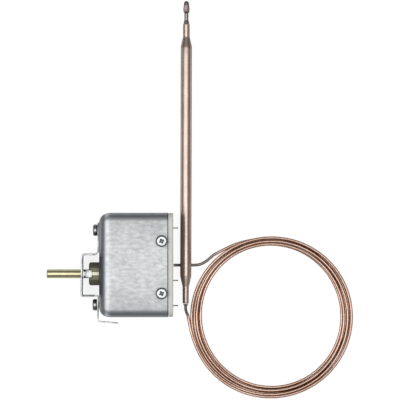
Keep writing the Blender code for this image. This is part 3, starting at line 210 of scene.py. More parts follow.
def skin(name, grid, mat, sharp=35.0):
    """A closed skin: quads between neighbouring rings of points, and a fan about a middle point at each end.
    It is turned inside out where its volume, the sum over its triangles seen from its middle, is negative."""
    grid = np.asarray(grid, dtype=float)
    rows, columns = grid.shape[:2]
    points = np.concatenate((grid.reshape(-1, 3), grid[:1].mean(axis=1), grid[-1:].mean(axis=1)))
    r, c = np.meshgrid(np.arange(rows - 1), np.arange(columns), indexing="ij")
    n = (c + 1) % columns
    quads = (r * columns + c, r * columns + n, (r + 1) * columns + n, (r + 1) * columns + c)
    quads = np.stack(quads, axis=-1).reshape(-1, 4)
    c, n, last = c[0], n[0], (rows - 1) * columns
    first_fan = np.stack((np.full(columns, rows * columns), n, c), axis=-1)
    last_fan = np.stack((np.full(columns, rows * columns + 1), last + c, last + n), axis=-1)
    fans = np.stack((first_fan, last_fan), axis=1).reshape(-1, 3)
    corners = np.concatenate((quads[:, :3], quads[:, (0, 2, 3)], fans))
    a, b, c = (points[corners[:, k]] - points.mean(axis=0) for k in range(3))
    if np.sum(a * np.cross(b, c)) < 0:
        quads, fans = quads[:, ::-1], fans[:, ::-1]
    return mesh_object(name, points, quads.tolist() + fans.tolist(), mat, sharp)


def turned(name, stations, radii, matrix, mat, sides=64, sharp=35.0):
    """A turned form: at each station along local Z, a circle of that radius."""
    angle = np.linspace(0, 2 * np.pi, sides, endpoint=False)
    stations = np.asarray(stations, dtype=float)
    radii = np.asarray(radii, dtype=float)
    grid = np.stack((radii[:, None] * np.cos(angle), radii[:, None] * np.sin(angle),
                     stations[:, None] + 0 * angle), axis=-1)
    return skin(name, carry(grid, matrix), mat, sharp)


def carry(points, matrix):
    """Move points by a matrix."""
    m = np.array(matrix)
    return points @ m[:3, :3].T + m[:3, 3]


def along(axis, place):
    """Stand local Z along a world axis, at a place."""
    turn = {"X": Matrix.Rotation(math.pi / 2, 4, "Y"),
            "-X": Matrix.Rotation(-math.pi / 2, 4, "Y"),
            "Y": Matrix.Rotation(-math.pi / 2, 4, "X"),
            "Z": Matrix.Identity(4)}[axis]
    return Matrix.Translation(place) @ turn


def eased(knots, values, at):
    """Read a profile between its knots, with each step eased by 3t^2 - 2t^3."""
    knots = np.asarray(knots, dtype=float)
    values = np.asarray(values, dtype=float)
    i = np.clip(np.searchsorted(knots, at, side="right") - 1, 0, len(knots) - 2)
    t = np.clip((at - knots[i]) / (knots[i + 1] - knots[i]), 0, 1)
    return values[i] + (values[i + 1] - values[i]) * (3 - 2 * t) * t * t


def rounded_loop(half_u, half_v, radius, steps=12):
    """A rectangle with corner arcs, as offsets from its middle, anticlockwise."""
    angle = np.linspace(0, np.pi / 2, steps + 1)
    loops = []
    for quarter, (sign_u, sign_v) in enumerate(((1, 1), (-1, 1), (-1, -1), (1, -1))):
        turn = angle + quarter * np.pi / 2
        loops.append(np.stack((sign_u * (half_u - radius) + radius * np.cos(turn),
                               sign_v * (half_v - radius) + radius * np.sin(turn)), axis=-1))
    return np.concatenate(loops)


def drill(piece, name, axis, place, radius, reach, sides=32):
    """Bore a hole through a piece with a plain bar."""
    mat = piece.data.materials[0]
    hollow(piece, turned(name, (-reach, reach), (radius, radius), along(axis, place), mat, sides))


def notch(piece, name, low, high, mat=None):
    """Cut a box out of a piece. The cut faces may take another finish."""
    low = np.asarray(low)
    high = np.asarray(high)
    corner = np.array([(x, y, z) for x in (0, 1) for y in (0, 1) for z in (0, 1)])
    faces = [(0, 1, 3, 2), (4, 6, 7, 5), (0, 4, 5, 1), (2, 3, 7, 6), (0, 2, 6, 4), (1, 5, 7, 3)]
    mat = mat or piece.data.materials[0]
    hollow(piece, mesh_object(name, low + corner * (high - low), faces, mat))


def hollow(piece, cutter):
    """Take a cutter's shape out of a piece for good, and drop the cutter."""
    step = piece.modifiers.new("cut", "BOOLEAN")
    step.operation = "DIFFERENCE"
    step.solver = "EXACT"
    step.material_mode = "TRANSFER"
    step.object = cutter
    settle(piece)
    bpy.data.objects.remove(cutter, do_unlink=True)


def reface(piece, mat, kind, axis, least):
    """Another finish for the faces whose normal or centre is beyond a limit along one axis."""
    polygons = piece.data.polygons
    found = np.empty(len(polygons) * 3, dtype=np.float32)
    polygons.foreach_get(kind, found)
    along_axis = found.reshape(-1, 3)[:, axis]
    beyond = (np.abs(along_axis) if kind == "normal" else along_axis) > least
    index = np.empty(len(polygons), dtype=np.int32)
    polygons.foreach_get("material_index", index)
    piece.data.materials.append(mat)
    index[beyond] = len(piece.data.materials) - 1
    polygons.foreach_set("material_index", index)


def settle(piece):
    """Write a piece's modifiers into its mesh."""
    graph = bpy.context.evaluated_depsgraph_get()
    graph.update()
    mesh = bpy.data.meshes.new_from_object(piece.evaluated_get(graph))
    piece.modifiers.clear()
    piece.data = mesh


def smooth(piece, sharp):
    """Shade a piece smooth, but for edges sharper than an angle in degrees."""
    piece.data.shade_smooth()
    piece.data.set_sharp_from_angle(angle=math.radians(sharp))


def soften(piece, width):
    """Round a piece's sharp edges."""
    step = piece.modifiers.new("edges", "BEVEL")
    step.width = width
    step.segments = 2
    step.limit_method = "ANGLE"
    step.angle_limit = math.radians(40)
    step.harden_normals = False
    settle(piece)
    smooth(piece, 50)


# Finishes

def group_socket(group, name, kind, way, value=None):
    """Give a group a named input or output."""
    socket = group.interface.new_socket(name=name, in_out=way, socket_type=kind)
    if value is not None:
        socket.default_value = value


def make_mottle_group():
    """Colour that drifts between two tones in soft patches, with finer specks on top."""
    group = bpy.data.node_groups.new("mottle", "ShaderNodeTree")
    group_socket(group, "Place", "NodeSocketVector", "INPUT")
    group_socket(group, "Patch Size", "NodeSocketFloat", "INPUT", 120.0)
    group_socket(group, "Speck Size", "NodeSocketFloat", "INPUT", 900.0)
    group_socket(group, "Tone A", "NodeSocketColor", "INPUT", (0.5, 0.5, 0.5, 1))
    group_socket(group, "Tone B", "NodeSocketColor", "INPUT", (0.6, 0.6, 0.6, 1))
    group_socket(group, "Colour", "NodeSocketColor", "OUTPUT")
    group_socket(group, "Mask", "NodeSocketFloat", "OUTPUT")
    nodes = group.nodes
    links = group.links
    source = nodes.new("NodeGroupInput")
    target = nodes.new("NodeGroupOutput")
    patch = nodes.new("ShaderNodeTexNoise")
    patch.inputs["Detail"].default_value = 4.0
    patch.inputs["Roughness"].default_value = 0.6
    speck = nodes.new("ShaderNodeTexNoise")
    speck.inputs["Detail"].default_value = 2.0
    spread = nodes.new("ShaderNodeMapRange")
    spread.inputs["From Min"].default_value = 0.48
    spread.inputs["From Max"].default_value = 0.88
    mix = nodes.new("ShaderNodeMix")
    mix.data_type = "RGBA"
    links.new(source.outputs["Place"], patch.inputs["Vector"])
    links.new(source.outputs["Place"], speck.inputs["Vector"])
    links.new(source.outputs["Patch Size"], patch.inputs["Scale"])
    links.new(source.outputs["Speck Size"], speck.inputs["Scale"])
    both = calculate(group, "MULTIPLY_ADD", speck.outputs[0], 0.35, patch.outputs[0])
    links.new(both, spread.inputs["Value"])
    links.new(spread.outputs["Result"], mix.inputs["Factor"])
    links.new(source.outputs["Tone A"], mix.inputs["A"])
    links.new(source.outputs["Tone B"], mix.inputs["B"])
    links.new(mix.outputs["Result"], target.inputs["Colour"])
    links.new(spread.outputs["Result"], target.inputs["Mask"])


def make_grain_group():
    """Fine lines stretched out along one direction: stretched noise, as a height and a roughness."""
    group = bpy.data.node_groups.new("grain", "ShaderNodeTree")
    group_socket(group, "Place", "NodeSocketVector", "INPUT")
    group_socket(group, "Stretch", "NodeSocketVector", "INPUT", (1.0, 1.0, 1.0))
    group_socket(group, "Rough Low", "NodeSocketFloat", "INPUT", 0.3)
    group_socket(group, "Rough High", "NodeSocketFloat", "INPUT", 0.4)
    group_socket(group, "Height", "NodeSocketFloat", "OUTPUT")
    group_socket(group, "Roughness", "NodeSocketFloat", "OUTPUT")
    nodes = group.nodes
    links = group.links
    source = nodes.new("NodeGroupInput")
    target = nodes.new("NodeGroupOutput")
    scale = nodes.new("ShaderNodeVectorMath")
    scale.operation = "MULTIPLY"
    lines = nodes.new("ShaderNodeTexNoise")
    lines.inputs["Scale"].default_value = 1.0
    lines.inputs["Detail"].default_value = 3.0
    spread = nodes.new("ShaderNodeMapRange")
    spread.inputs["From Min"].default_value = 0.3
    spread.inputs["From Max"].default_value = 0.7
    links.new(source.outputs["Place"], scale.inputs[0])
    links.new(source.outputs["Stretch"], scale.inputs[1])
    links.new(scale.outputs[0], lines.inputs["Vector"])
    links.new(lines.outputs[0], spread.inputs["Value"])
    links.new(source.outputs["Rough Low"], spread.inputs["To Min"])
    links.new(source.outputs["Rough High"], spread.inputs["To Max"])
    links.new(lines.outputs[0], target.inputs["Height"])
    links.new(spread.outputs["Result"], target.inputs["Roughness"])


def make_painted_edge_shade_group():
    """Painted shade on rounded edges: a mask that is 0 on flats, whose normal lies along an axis, and rises to
    1 where the normal leans away from every axis, where the colour is mixed towards a darker tone."""
    group = bpy.data.node_groups.new("painted_edge_shade", "ShaderNodeTree")
    group_socket(group, "Normal", "NodeSocketVector", "INPUT")
    group_socket(group, "Colour", "NodeSocketColor", "INPUT", (0.6, 0.6, 0.6, 1))
    group_socket(group, "Edge Shade Tone", "NodeSocketColor", "INPUT", (0.2, 0.22, 0.25, 1))
    group_socket(group, "Colour", "NodeSocketColor", "OUTPUT")
    nodes = group.nodes
    links = group.links
    source = nodes.new("NodeGroupInput")
    target = nodes.new("NodeGroupOutput")
    upright = nodes.new("ShaderNodeVectorMath")
    upright.operation = "ABSOLUTE"
    split = nodes.new("ShaderNodeSeparateXYZ")
    spread = nodes.new("ShaderNodeMapRange")
    spread.interpolation_type = "SMOOTHSTEP"
    spread.inputs["From Min"].default_value = 0.93
    spread.inputs["From Max"].default_value = 0.75
    mix = nodes.new("ShaderNodeMix")
    mix.data_type = "RGBA"
    links.new(source.outputs["Normal"], upright.inputs[0])
    links.new(upright.outputs[0], split.inputs[0])
    pair = calculate(group, "MAXIMUM", split.outputs["X"], split.outputs["Y"])
    most = calculate(group, "MAXIMUM", pair, split.outputs["Z"])
    links.new(most, spread.inputs["Value"])
    links.new(spread.outputs["Result"], mix.inputs["Factor"])
    links.new(source.outputs["Colour"], mix.inputs["A"])
    links.new(source.outputs["Edge Shade Tone"], mix.inputs["B"])
    links.new(mix.outputs["Result"], target.inputs["Colour"])


def finish(name, tone_a, tone_b, metallic, rough, patch=120.0, speck=900.0, stretch=(500, 500, 500),
           bump=0.05, tint=None, edge_shade_tone=None):
    """One finish: mottled colour, grained roughness and a slight relief. The tint is the metal's tone at
    grazing angles, and the edge shade tone is a darker tone painted as shade on rounded edges, where the normal
    leans away from every axis."""
    mat = bpy.data.materials.new(name)
    mat.use_nodes = True
    nodes = mat.node_tree.nodes
    links = mat.node_tree.links
    shader = nodes["Principled BSDF"]
    shader.inputs["Metallic"].default_value = metallic
    if tint:
        shader.inputs["Specular Tint"].default_value = (*tint, 1)
    where = nodes.new("ShaderNodeTexCoord")
    mottle = nodes.new("ShaderNodeGroup")
    mottle.node_tree = bpy.data.node_groups["mottle"]
    mottle.inputs["Patch Size"].default_value = patch
    mottle.inputs["Speck Size"].default_value = speck
    mottle.inputs["Tone A"].default_value = (*tone_a, 1)
    mottle.inputs["Tone B"].default_value = (*tone_b, 1)
    grain = nodes.new("ShaderNodeGroup")
    grain.node_tree = bpy.data.node_groups["grain"]
    grain.inputs["Stretch"].default_value = stretch
    grain.inputs["Rough Low"].default_value = rough[0]
    grain.inputs["Rough High"].default_value = rough[1]
    relief = nodes.new("ShaderNodeBump")
    relief.inputs["Strength"].default_value = bump
    relief.inputs["Distance"].default_value = 0.0002
    links.new(where.outputs["Object"], mottle.inputs["Place"])
    links.new(where.outputs["Object"], grain.inputs["Place"])
    colour = mottle.outputs["Colour"]
    # Painted shade: where the normal leans away from every axis, the colour is mixed towards the darker edge
    # shade tone.
    if edge_shade_tone:
        painted_edge_shade = nodes.new("ShaderNodeGroup")
        painted_edge_shade.node_tree = bpy.data.node_groups["painted_edge_shade"]
        painted_edge_shade.inputs["Edge Shade Tone"].default_value = (*edge_shade_tone, 1)
        links.new(where.outputs["Normal"], painted_edge_shade.inputs["Normal"])
        links.new(colour, painted_edge_shade.inputs["Colour"])
        colour = painted_edge_shade.outputs["Colour"]
    links.new(colour, shader.inputs["Base Color"])
    links.new(grain.outputs["Roughness"], shader.inputs["Roughness"])
    links.new(grain.outputs["Height"], relief.inputs["Height"])
    links.new(relief.outputs["Normal"], shader.inputs["Normal"])
    return mat


def overlay(mat, tone):
    """Lay a second tone over a finish, and give back the socket of its mask."""
    nodes = mat.node_tree.nodes
    links = mat.node_tree.links
    shader = nodes["Principled BSDF"]
    mix = nodes.new("ShaderNodeMix")
    mix.data_type = "RGBA"
    mix.inputs["B"].default_value = (*tone, 1)
    links.new(shader.inputs["Base Color"].links[0].from_socket, mix.inputs["A"])
    links.new(mix.outputs["Result"], shader.inputs["Base Color"])
    return mix.inputs["Factor"]


def position(mat):
    """The three object coordinates of a point, as sockets by name."""
    split = mat.node_tree.nodes.new("ShaderNodeSeparateXYZ")
    where = mat.node_tree.nodes.new("ShaderNodeTexCoord")
    mat.node_tree.links.new(where.outputs["Object"], split.inputs[0])
    return split.outputs


def fade(mat, value, low, high, first=0.0, last=1.0):
    """A mask that eases from first to last while a value goes from low to high, both in mm."""
    spread = mat.node_tree.nodes.new("ShaderNodeMapRange")
    spread.interpolation_type = "SMOOTHSTEP"
    spread.inputs["From Min"].default_value = low * MM
    spread.inputs["From Max"].default_value = high * MM
    spread.inputs["To Min"].default_value = first
    spread.inputs["To Max"].default_value = last
    mat.node_tree.links.new(value, spread.inputs["Value"])
    return spread.outputs["Result"]


def band(mat, value, up, down, top=1.0):
    """A mask that eases up to top between one pair of limits and back to nothing between another."""
    rising = fade(mat, value, *up, 0.0, top)
    falling = fade(mat, value, *down, 1.0, 0.0)
    return calculate(mat.node_tree, "MULTIPLY", rising, falling)


def paint_cone_shade(mat):
    """The bulb's upper cone is painted darker than the tube beside it: painted shade."""
    # Painted shade over the upper cone.
    mask = band(mat, position(mat)["Y"], (149.4, 150.8), (156.6, 158.2), 0.55)
    mat.node_tree.links.new(mask, overlay(mat, (0.19, 0.145, 0.12)))


def tarnish_ends(mat):
    """The capillary is copper in the coil and turns grey-brown and dull towards its two brazed ends."""
    nodes = mat.node_tree.nodes
    links = mat.node_tree.links
    where = nodes.new("ShaderNodeTexCoord")
    reach = nodes.new("ShaderNodeVectorMath")
    reach.operation = "DISTANCE"
    reach.inputs[1].default_value = (*COIL_CENTRE, 2.0 * MM)
    links.new(where.outputs["Object"], reach.inputs[0])
    beyond = reach.outputs["Value"]
    links.new(fade(mat, beyond, 57.4, 59.2), overlay(mat, (0.19, 0.172, 0.16)))
    links.new(fade(mat, beyond, 57.4, 59.2, 1.0, 0.55), nodes["Principled BSDF"].inputs["Metallic"])


def paint_can_shade_and_highlight(mat):
    """The can's flats are painted darker towards its long edges as painted shade, carry a painted highlight in
    a band behind the round nose, and a painted shadow along the open rim, where the can meets the plate."""
    links = mat.node_tree.links
    place = position(mat)
    off_middle = calculate(mat.node_tree, "ABSOLUTE", place["Y"])
    # Painted shade: darker towards the long edges.
    links.new(fade(mat, off_middle, 10.0, 36.0, 0.0, 0.42), overlay(mat, (0.22, 0.235, 0.245)))
    # Painted highlight: a lighter band behind the round nose.
    links.new(band(mat, place["X"], (-20.4, -18.7), (-18.7, -14.8)), overlay(mat, (0.56, 0.57, 0.585)))
    # Painted shadow along the open rim, in the gap to the plate.
    links.new(fade(mat, place["X"], 23.05, 23.35, 0.0, 0.9), overlay(mat, (0.10, 0.105, 0.10)))


def make_finishes():
    """Every finish, by a short name: two tones, metal or not, the range of roughness, the sizes of patches and
    specks, the stretch of the grain, the height of the relief."""
    make_mottle_group()
    make_grain_group()
    make_painted_edge_shade_group()
    steel_edge = (0.25, 0.26, 0.28)
    finishes = {
        # Each finish's edge shade tone is painted shade on its rounded edges.
        "zinc": finish("zinc_sheet", (0.38, 0.383, 0.385), (0.48, 0.48, 0.475), 1.0, (0.44, 0.56),
                       65.0, 900.0, (250, 500, 500), 0.035, tint=steel_edge, edge_shade_tone=(0.22, 0.235, 0.245)),
        "strap": finish("plated_strap", (0.38, 0.375, 0.37), (0.46, 0.455, 0.45), 1.0, (0.25, 0.38),
                        150.0, 900.0, (900, 900, 90), 0.04, tint=steel_edge, edge_shade_tone=(0.12, 0.13, 0.14)),
        "sheared": finish("sheared_edge", (0.17, 0.175, 0.18), (0.72, 0.725, 0.73), 1.0, (0.4, 0.5),
                          110.0, 1500.0, (300, 300, 1500), 0.06, tint=steel_edge, edge_shade_tone=(0.06, 0.065, 0.07)),
        "screw": finish("screw_zinc", (0.31, 0.315, 0.32), (0.42, 0.425, 0.43), 1.0, (0.18, 0.28),
                        300.0, 1500.0, (800, 800, 800), 0.04, tint=steel_edge, edge_shade_tone=(0.15, 0.16, 0.17)),
        # The cross recess is painted dark: painted shade in the recess.
        "recess": finish("screw_recess_shade", (0.10, 0.11, 0.12), (0.16, 0.17, 0.18), 1.0, (0.4, 0.5)),
        "brass": finish("spindle_brass", (0.44, 0.40, 0.24), (0.52, 0.475, 0.295), 1.0, (0.22, 0.30),
                        150.0, 900.0, (2500, 60, 60), 0.05, tint=(0.20, 0.18, 0.10)),
        # A brighter brass for the bush's top groove: a painted highlight.
        "groove": finish("groove_brass_highlight", (0.42, 0.41, 0.32), (0.50, 0.49, 0.38), 1.0, (0.4, 0.5),
                         300.0, 1500.0, (200, 900, 900), 0.08),
        "bush": finish("bush_brass", (0.20, 0.195, 0.135), (0.28, 0.275, 0.19), 0.2, (0.5, 0.6),
                       250.0, 1200.0, (90, 900, 900), 0.10, tint=(0.35, 0.35, 0.26)),
        "tab": finish("tab_brass", (0.12, 0.118, 0.105), (0.26, 0.255, 0.225), 1.0, (0.35, 0.45),
                      300.0, 1500.0, (300, 900, 900), 0.06, tint=(0.1, 0.1, 0.1)),
        "copper": finish("bulb_copper", (0.42, 0.325, 0.275), (0.52, 0.415, 0.36), 1.0, (0.28, 0.38),
                         80.0, 600.0, (1400, 50, 1400), 0.05, tint=(0.10, 0.07, 0.06)),
        "pinched": finish("pinched_copper", (0.15, 0.115, 0.118), (0.23, 0.18, 0.182), 1.0, (0.3, 0.42),
                          400.0, 1500.0, (500, 500, 500), 0.15, tint=(0.06, 0.05, 0.05)),
        "stem": finish("stem_copper", (0.19, 0.165, 0.145), (0.28, 0.25, 0.225), 1.0, (0.16, 0.24),
                       300.0, 1500.0, (1400, 50, 1400), 0.05, tint=(0.06, 0.05, 0.04)),
        "capillary": finish("capillary_copper", (0.34, 0.20, 0.14), (0.57, 0.40, 0.32), 1.0, (0.22, 0.32),
                            28.0, 500.0, (300, 300, 300), 0.05, tint=(0.08, 0.05, 0.04)),
        "braze": finish("braze", (0.10, 0.08, 0.07), (0.22, 0.17, 0.14), 1.0, (0.35, 0.5),
                        400.0, 1500.0, (700, 700, 700), 0.3, tint=(0.05, 0.04, 0.04)),
        "moulding": finish("base_moulding", (0.62, 0.61, 0.565), (0.69, 0.68, 0.62), 0.0, (0.5, 0.6),
                           200.0, 1500.0, (1200, 1200, 1200), 0.08),
        "steel": finish("frame_steel", (0.42, 0.43, 0.44), (0.52, 0.53, 0.54), 1.0, (0.35, 0.45)),
        "spring": finish("spring_steel", (0.22, 0.22, 0.23), (0.32, 0.32, 0.33), 1.0, (0.3, 0.4)),
        "bronze": finish("spring_bronze", (0.52, 0.36, 0.18), (0.64, 0.45, 0.24), 1.0, (0.3, 0.4)),
        "silver": finish("contact_silver", (0.76, 0.76, 0.74), (0.86, 0.86, 0.84), 1.0, (0.2, 0.3)),
        "ceramic": finish("pin_ceramic", (0.78, 0.77, 0.73), (0.85, 0.84, 0.80), 0.0, (0.45, 0.55)),
    }
    tarnish_ends(finishes["capillary"])
    paint_can_shade_and_highlight(finishes["zinc"])
    paint_cone_shade(finishes["copper"])
    return finishes


# The capillary

def capillary_line():
    """The whole line: the lead, the coil's strands settled on each other, and the tail.

    Across the band a strand goes from the outer edge to the inner one and back, as WINDING gives it at each
    half turn. The band's middle and half width are short sums of sines and cosines of the angle. Then the
    strands sink, and each stays a diameter above or beside those wound before.
    """
    per_turn = 120
    start = math.radians(127.5)
    count = int(round((start + math.radians(178.85 + 360.0 * 5)) / (2 * math.pi) * per_turn))
    turn = np.arange(count + 1) * 2 * math.pi / per_turn
    angle = start - turn
    middle = (52.33 - 0.4 * np.cos(angle) - 0.07 * np.sin(angle)) * MM
    half = (3.09 - 0.52 * np.sin(angle) + 0.29 * np.cos(2 * angle) + 0.2 * np.sin(2 * angle)) * MM
    across = np.interp(turn / math.pi, np.arange(len(WINDING)), WINDING)
    for step in range(40):
        across[1:-1] = 0.25 * across[:-2] + 0.5 * across[1:-1] + 0.25 * across[2:]
    radius = middle + half * across
    lead_in = np.clip(1 - turn / 0.5, 0, 1) ** 1.5
    radius += (57.3 * MM - radius) * lead_in
    tail_out = np.clip((turn - turn[-1] + 0.35) / 0.35, 0, 1) ** 1.5
    radius += (57.6 * MM - radius) * tail_out
    low = CAPILLARY / 2 + 0.05 * MM
    apart = CAPILLARY + 0.04 * MM
    height = low + 0.14 * MM * turn
    for step in range(1000):
        if step < 800:
            height -= 0.02 * MM
        height[1:-1] = 0.25 * height[:-2] + 0.5 * height[1:-1] + 0.25 * height[2:]
        for shift in range(per_turn, count, per_turn):
            need = np.sqrt(np.clip(apart ** 2 - (radius[shift:] - radius[:-shift]) ** 2, 0, None))
            lack = 0.5 * np.clip(need - (height[shift:] - height[:-shift]), 0, None)
            height[shift:] += lack
            height[:-shift] -= lack
            height = np.maximum(height, low)
    coil = np.stack((COIL_CENTRE[0] + radius * np.cos(angle), COIL_CENTRE[1] + radius * np.sin(angle),
                     height), axis=-1)
    lead = np.array(((27.4, -0.45, 3.5), (28.9, -0.45, 3.4), (31.85, -0.45, 2.35), (35.25, -0.45, 1.12),
                     (40.4, -0.5, low / MM), (45.6, 0.0, low / MM), (50.1, 2.3, low / MM),
                     (53.6, 5.2, low / MM), (56.6, 7.4, low / MM))) * MM
    on_axis = np.array(((0, 0, -29.1), (0, 0, -30.7), (0, 0, -28.6))) * MM
    end, onward, inside = carry(on_axis, bulb_matrix())
    tail = np.stack((end + np.array((1.5, -6.4, -2.2)) * MM, end + np.array((0.6, -4.2, -1.2)) * MM,
                     onward, inside))
    line = even_line(np.concatenate((lead, coil[3:-3:3], tail)), 1.25 * MM)
    line[:, 2] = np.maximum(line[:, 2], low)
    return line


def even_line(points, spacing):
    """Points at an even spacing on a smooth curve through the given ones. Between two of them it is a cubic,
    whose slope at each is half the step from the point before it to the point after it."""
    knots = np.concatenate((2 * points[:1] - points[1:2], points, 2 * points[-1:] - points[-2:-1]))
    t = np.linspace(0, 1, 16, endpoint=False)[None, :, None]
    a, b, c, d = (k[:, None, :] for k in (knots[:-3], knots[1:-2], knots[2:-1], knots[3:]))
    dense = 0.5 * (2 * b + (c - a) * t + (2 * a - 5 * b + 4 * c - d) * t ** 2
                   + (3 * b - a - 3 * c + d) * t ** 3)
    dense = np.concatenate((dense.reshape(-1, 3), points[-1:]))
    length = np.concatenate(((0,), np.cumsum(np.linalg.norm(np.diff(dense, axis=0), axis=1))))
    at = np.linspace(0, length[-1], int(round(length[-1] / spacing)) + 1)
    return np.stack([np.interp(at, length, dense[:, k]) for k in range(3)], axis=-1)


def pipe(name, line, radius, mat, sides=16, upright=(0, 0, 1.0)):
    """A round skin along a line: at each point a circle square to the line, set upright by one fixed axis."""
    ahead = np.gradient(line, axis=0)
    ahead /= np.linalg.norm(ahead, axis=1)[:, None]
    side = np.cross(ahead, np.array(upright))
    side /= np.linalg.norm(side, axis=1)[:, None]
    up = np.cross(side, ahead)
    angle = np.linspace(0, 2 * np.pi, sides, endpoint=False)[None, :, None]
    grid = line[:, None, :] + radius * (np.cos(angle) * side[:, None, :] + np.sin(angle) * up[:, None, :])
    return skin(name, grid, mat, 60.0)


def make_capillary(mats):
    """The one cord, which stands for three solids. Gives back its length."""
    line = capillary_line()
    length = float(np.linalg.norm(np.diff(line, axis=0), axis=1).sum())
    piece = pipe("capillary", line, CAPILLARY / 2, mats["capillary"])
    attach(piece, "root")
    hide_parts("capillary_lead", "capillary_coil", "capillary_tail")
    return length


# The bulb

def bulb_matrix():
    """Local Z along the bulb: it leans a little and rests on its far end."""
    turn = Matrix.Rotation(-BULB_LEAN, 4, "Z") @ Matrix.Rotation(-BULB_TILT, 4, "X")
    return Matrix.Translation(BULB_PLACE) @ turn @ along("Y", (0, 0.45 * MM, 0))


def make_bulb(mats):
    """The bulb, the pinched tube and bead at its tip, and the brazed seam at its tail. The bead is an ellipse
    turned round its longer axis, cut off below its widest ring, and the seam's radius goes by eased steps."""
    foot = BULB_START - 8.0 * MM
    low = foot - 11.2 * MM
    neck = BULB_END + 7.4 * MM
    high = neck + 9.6 * MM
    make_bulb_body(mats, low, foot, neck, high)
    tip = make_pinched_tube(mats, high + SEAT) + SEAT

    share = np.linspace(0, 1, 20)
    radius = TIP_RADIUS * np.sqrt(np.clip(1 - (1.45 * share - 0.45) ** 2, 0.02, 1))
    bead = turned("tip_bead", tip + TIP_LENGTH * share, radius, bulb_matrix(), mats["braze"], 40, 60.0)
    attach(bead, "root")
    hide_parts("tip_braze")

    seam = low - 0.3 * MM
    tail = seam - 1.5 * MM
    at = np.linspace(tail, seam, 16)
    radius = eased((tail, seam - 0.3 * MM, seam), (1.06 * MM, 1.6 * MM, 1.5 * MM), at)
    ring = turned("tail_seam", at, radius, bulb_matrix(), mats["capillary"], 40, 60.0)
    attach(ring, "root")
    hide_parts("tail_braze")


def make_bulb_body(mats, low, foot, neck, high):
    """A long plain tube with a cone and a collar at each end: a turned profile, three tenths of it eased
    between its knots and the rest straight, less three shallow rings swaged at its foot."""
    knots = np.array((low, low + 0.4 * MM, foot, BULB_START, BULB_END, neck, high - 1.0 * MM,
                      high - 0.35 * MM, high))
    radii = np.array((1.75, 2.1, 2.15, 3.85, 3.85, 2.37, 2.35, 2.0, 1.5)) * MM
    rings = ((BULB_START - 1.2 * MM, 0.10), (BULB_START - 2.6 * MM, 0.05), (foot + 0.6 * MM, 0.06))
    at = np.unique(np.concatenate([np.linspace(a, b, 14) for a, b in zip(knots, knots[1:])]))
    radius = 0.3 * eased(knots, radii, at) + 0.7 * np.interp(at, knots, radii)
    for ring, depth in rings:
        radius = radius - depth * MM * np.exp(-((at - ring) / (0.35 * MM)) ** 2)
    bulb = turned("bulb", at, radius, bulb_matrix(), mats["copper"], 72, 45.0)
    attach(bulb, "root")
    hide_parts("probe_bulb")


def make_pinched_tube(mats, low):
    """A round tube pressed flat near its end, where it was pinched off: as it gets thinner it gets wider.
    A fillet of braze stands round its foot. Gives back where it ends along the bulb."""
    share = np.linspace(0, 1, 80)
    press = eased((0, 0.52, 0.64, 0.78, 1.0), (0, 0, 0.88, 1.0, 0.62), share)
    fillet = 0.36 * eased((0, 0.17, 1.0), (1.0, 0, 0), share)
    thick = TUBE_RADIUS * (1 - 0.57 * press + fillet)
    wide = TUBE_RADIUS * (1 + 0.53 * press + fillet)
    angle = np.linspace(0, 2 * np.pi, 40, endpoint=False)
    grid = np.stack((wide[:, None] * np.cos(angle), thick[:, None] * np.sin(angle),
                     low + TUBE_LENGTH * share[:, None] + 0 * angle), axis=-1)
    tube = skin("pinched_tube", carry(grid, bulb_matrix()), mats["tab"], 50.0)
    reface(tube, mats["stem"], "center", 1, BULB_PLACE[1] + low + 2.2 * MM)
    reface(tube, mats["pinched"], "center", 1, BULB_PLACE[1] + low + 7.0 * MM)
    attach(tube, "root")
    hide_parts("charging_tube")
    return low + TUBE_LENGTH


# The can and its plate

def make_can(mats):
    """Two skins joined at the open edge: rounded sections that shrink over a round nose, and the
    same sections a wall's thickness inside."""
    rings = []
    for wall in (0.0, CAN_WALL):
        front = CAN_FRONT + wall
        nose = CAN_NOSE_RADIUS - wall
        edge = CAN_EDGE_RADIUS - wall
        part = []
        for share in (0.25, 0.8):
            loop = rounded_loop((CAN_HALF_Y - CAN_NOSE_RADIUS) * share, (AXIS_Z - CAN_NOSE_RADIUS) * share,
                                0.25 * edge * share)
            part.append((front, loop))
        for swing in np.linspace(np.pi / 2, 0, 19):
            inset = nose * (1 - np.cos(swing))
            corner = edge - 0.75 * inset * edge / nose
            loop = rounded_loop(CAN_HALF_Y - wall - inset, AXIS_Z - wall - inset, corner)
            part.append((front + nose * (1 - np.sin(swing)), loop))
        for x in np.linspace(front + nose, CAN_OPEN, 12)[1:]:
            part.append((x, rounded_loop(CAN_HALF_Y - wall, AXIS_Z - wall, edge)))
        rings.append(part)
    rim = [(CAN_OPEN, rounded_loop(CAN_HALF_Y - wall, AXIS_Z - wall, CAN_EDGE_RADIUS - wall))
           for wall in (0.35 * MM, 0.65 * MM)]
    order = rings[0] + rim + rings[1][::-1]
    grid = np.stack([np.concatenate((np.full((len(loop), 1), x), loop + np.array((0, AXIS_Z))), axis=1)
                     for x, loop in order])
    can = skin("can", grid, mats["zinc"], 40.0)
    drill(can, "bush_bore", "X", (CAN_FRONT, AXIS_Y, AXIS_Z), 5.1 * MM, 3 * MM)
    for name, y, seat in FRONT_SCREWS:
        drill(can, "bore", "X", (CAN_FRONT, y, AXIS_Z), SCREW_HOLE, 3 * MM)
    for name, y in SIDE_SCREWS:
        drill(can, "bore", "Z", (SIDE_SCREW_X, y, CAN_DEPTH), SCREW_HOLE, 3 * MM)
        notch(can, "slot", (SIDE_SCREW_X - 1.8 * MM, y - 3.6 * MM, -1 * MM),
              (SIDE_SCREW_X + 1.8 * MM, y + 3.6 * MM, 2 * MM))
    smooth(can, 40)
    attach(can, "root")
    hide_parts("housing_can")


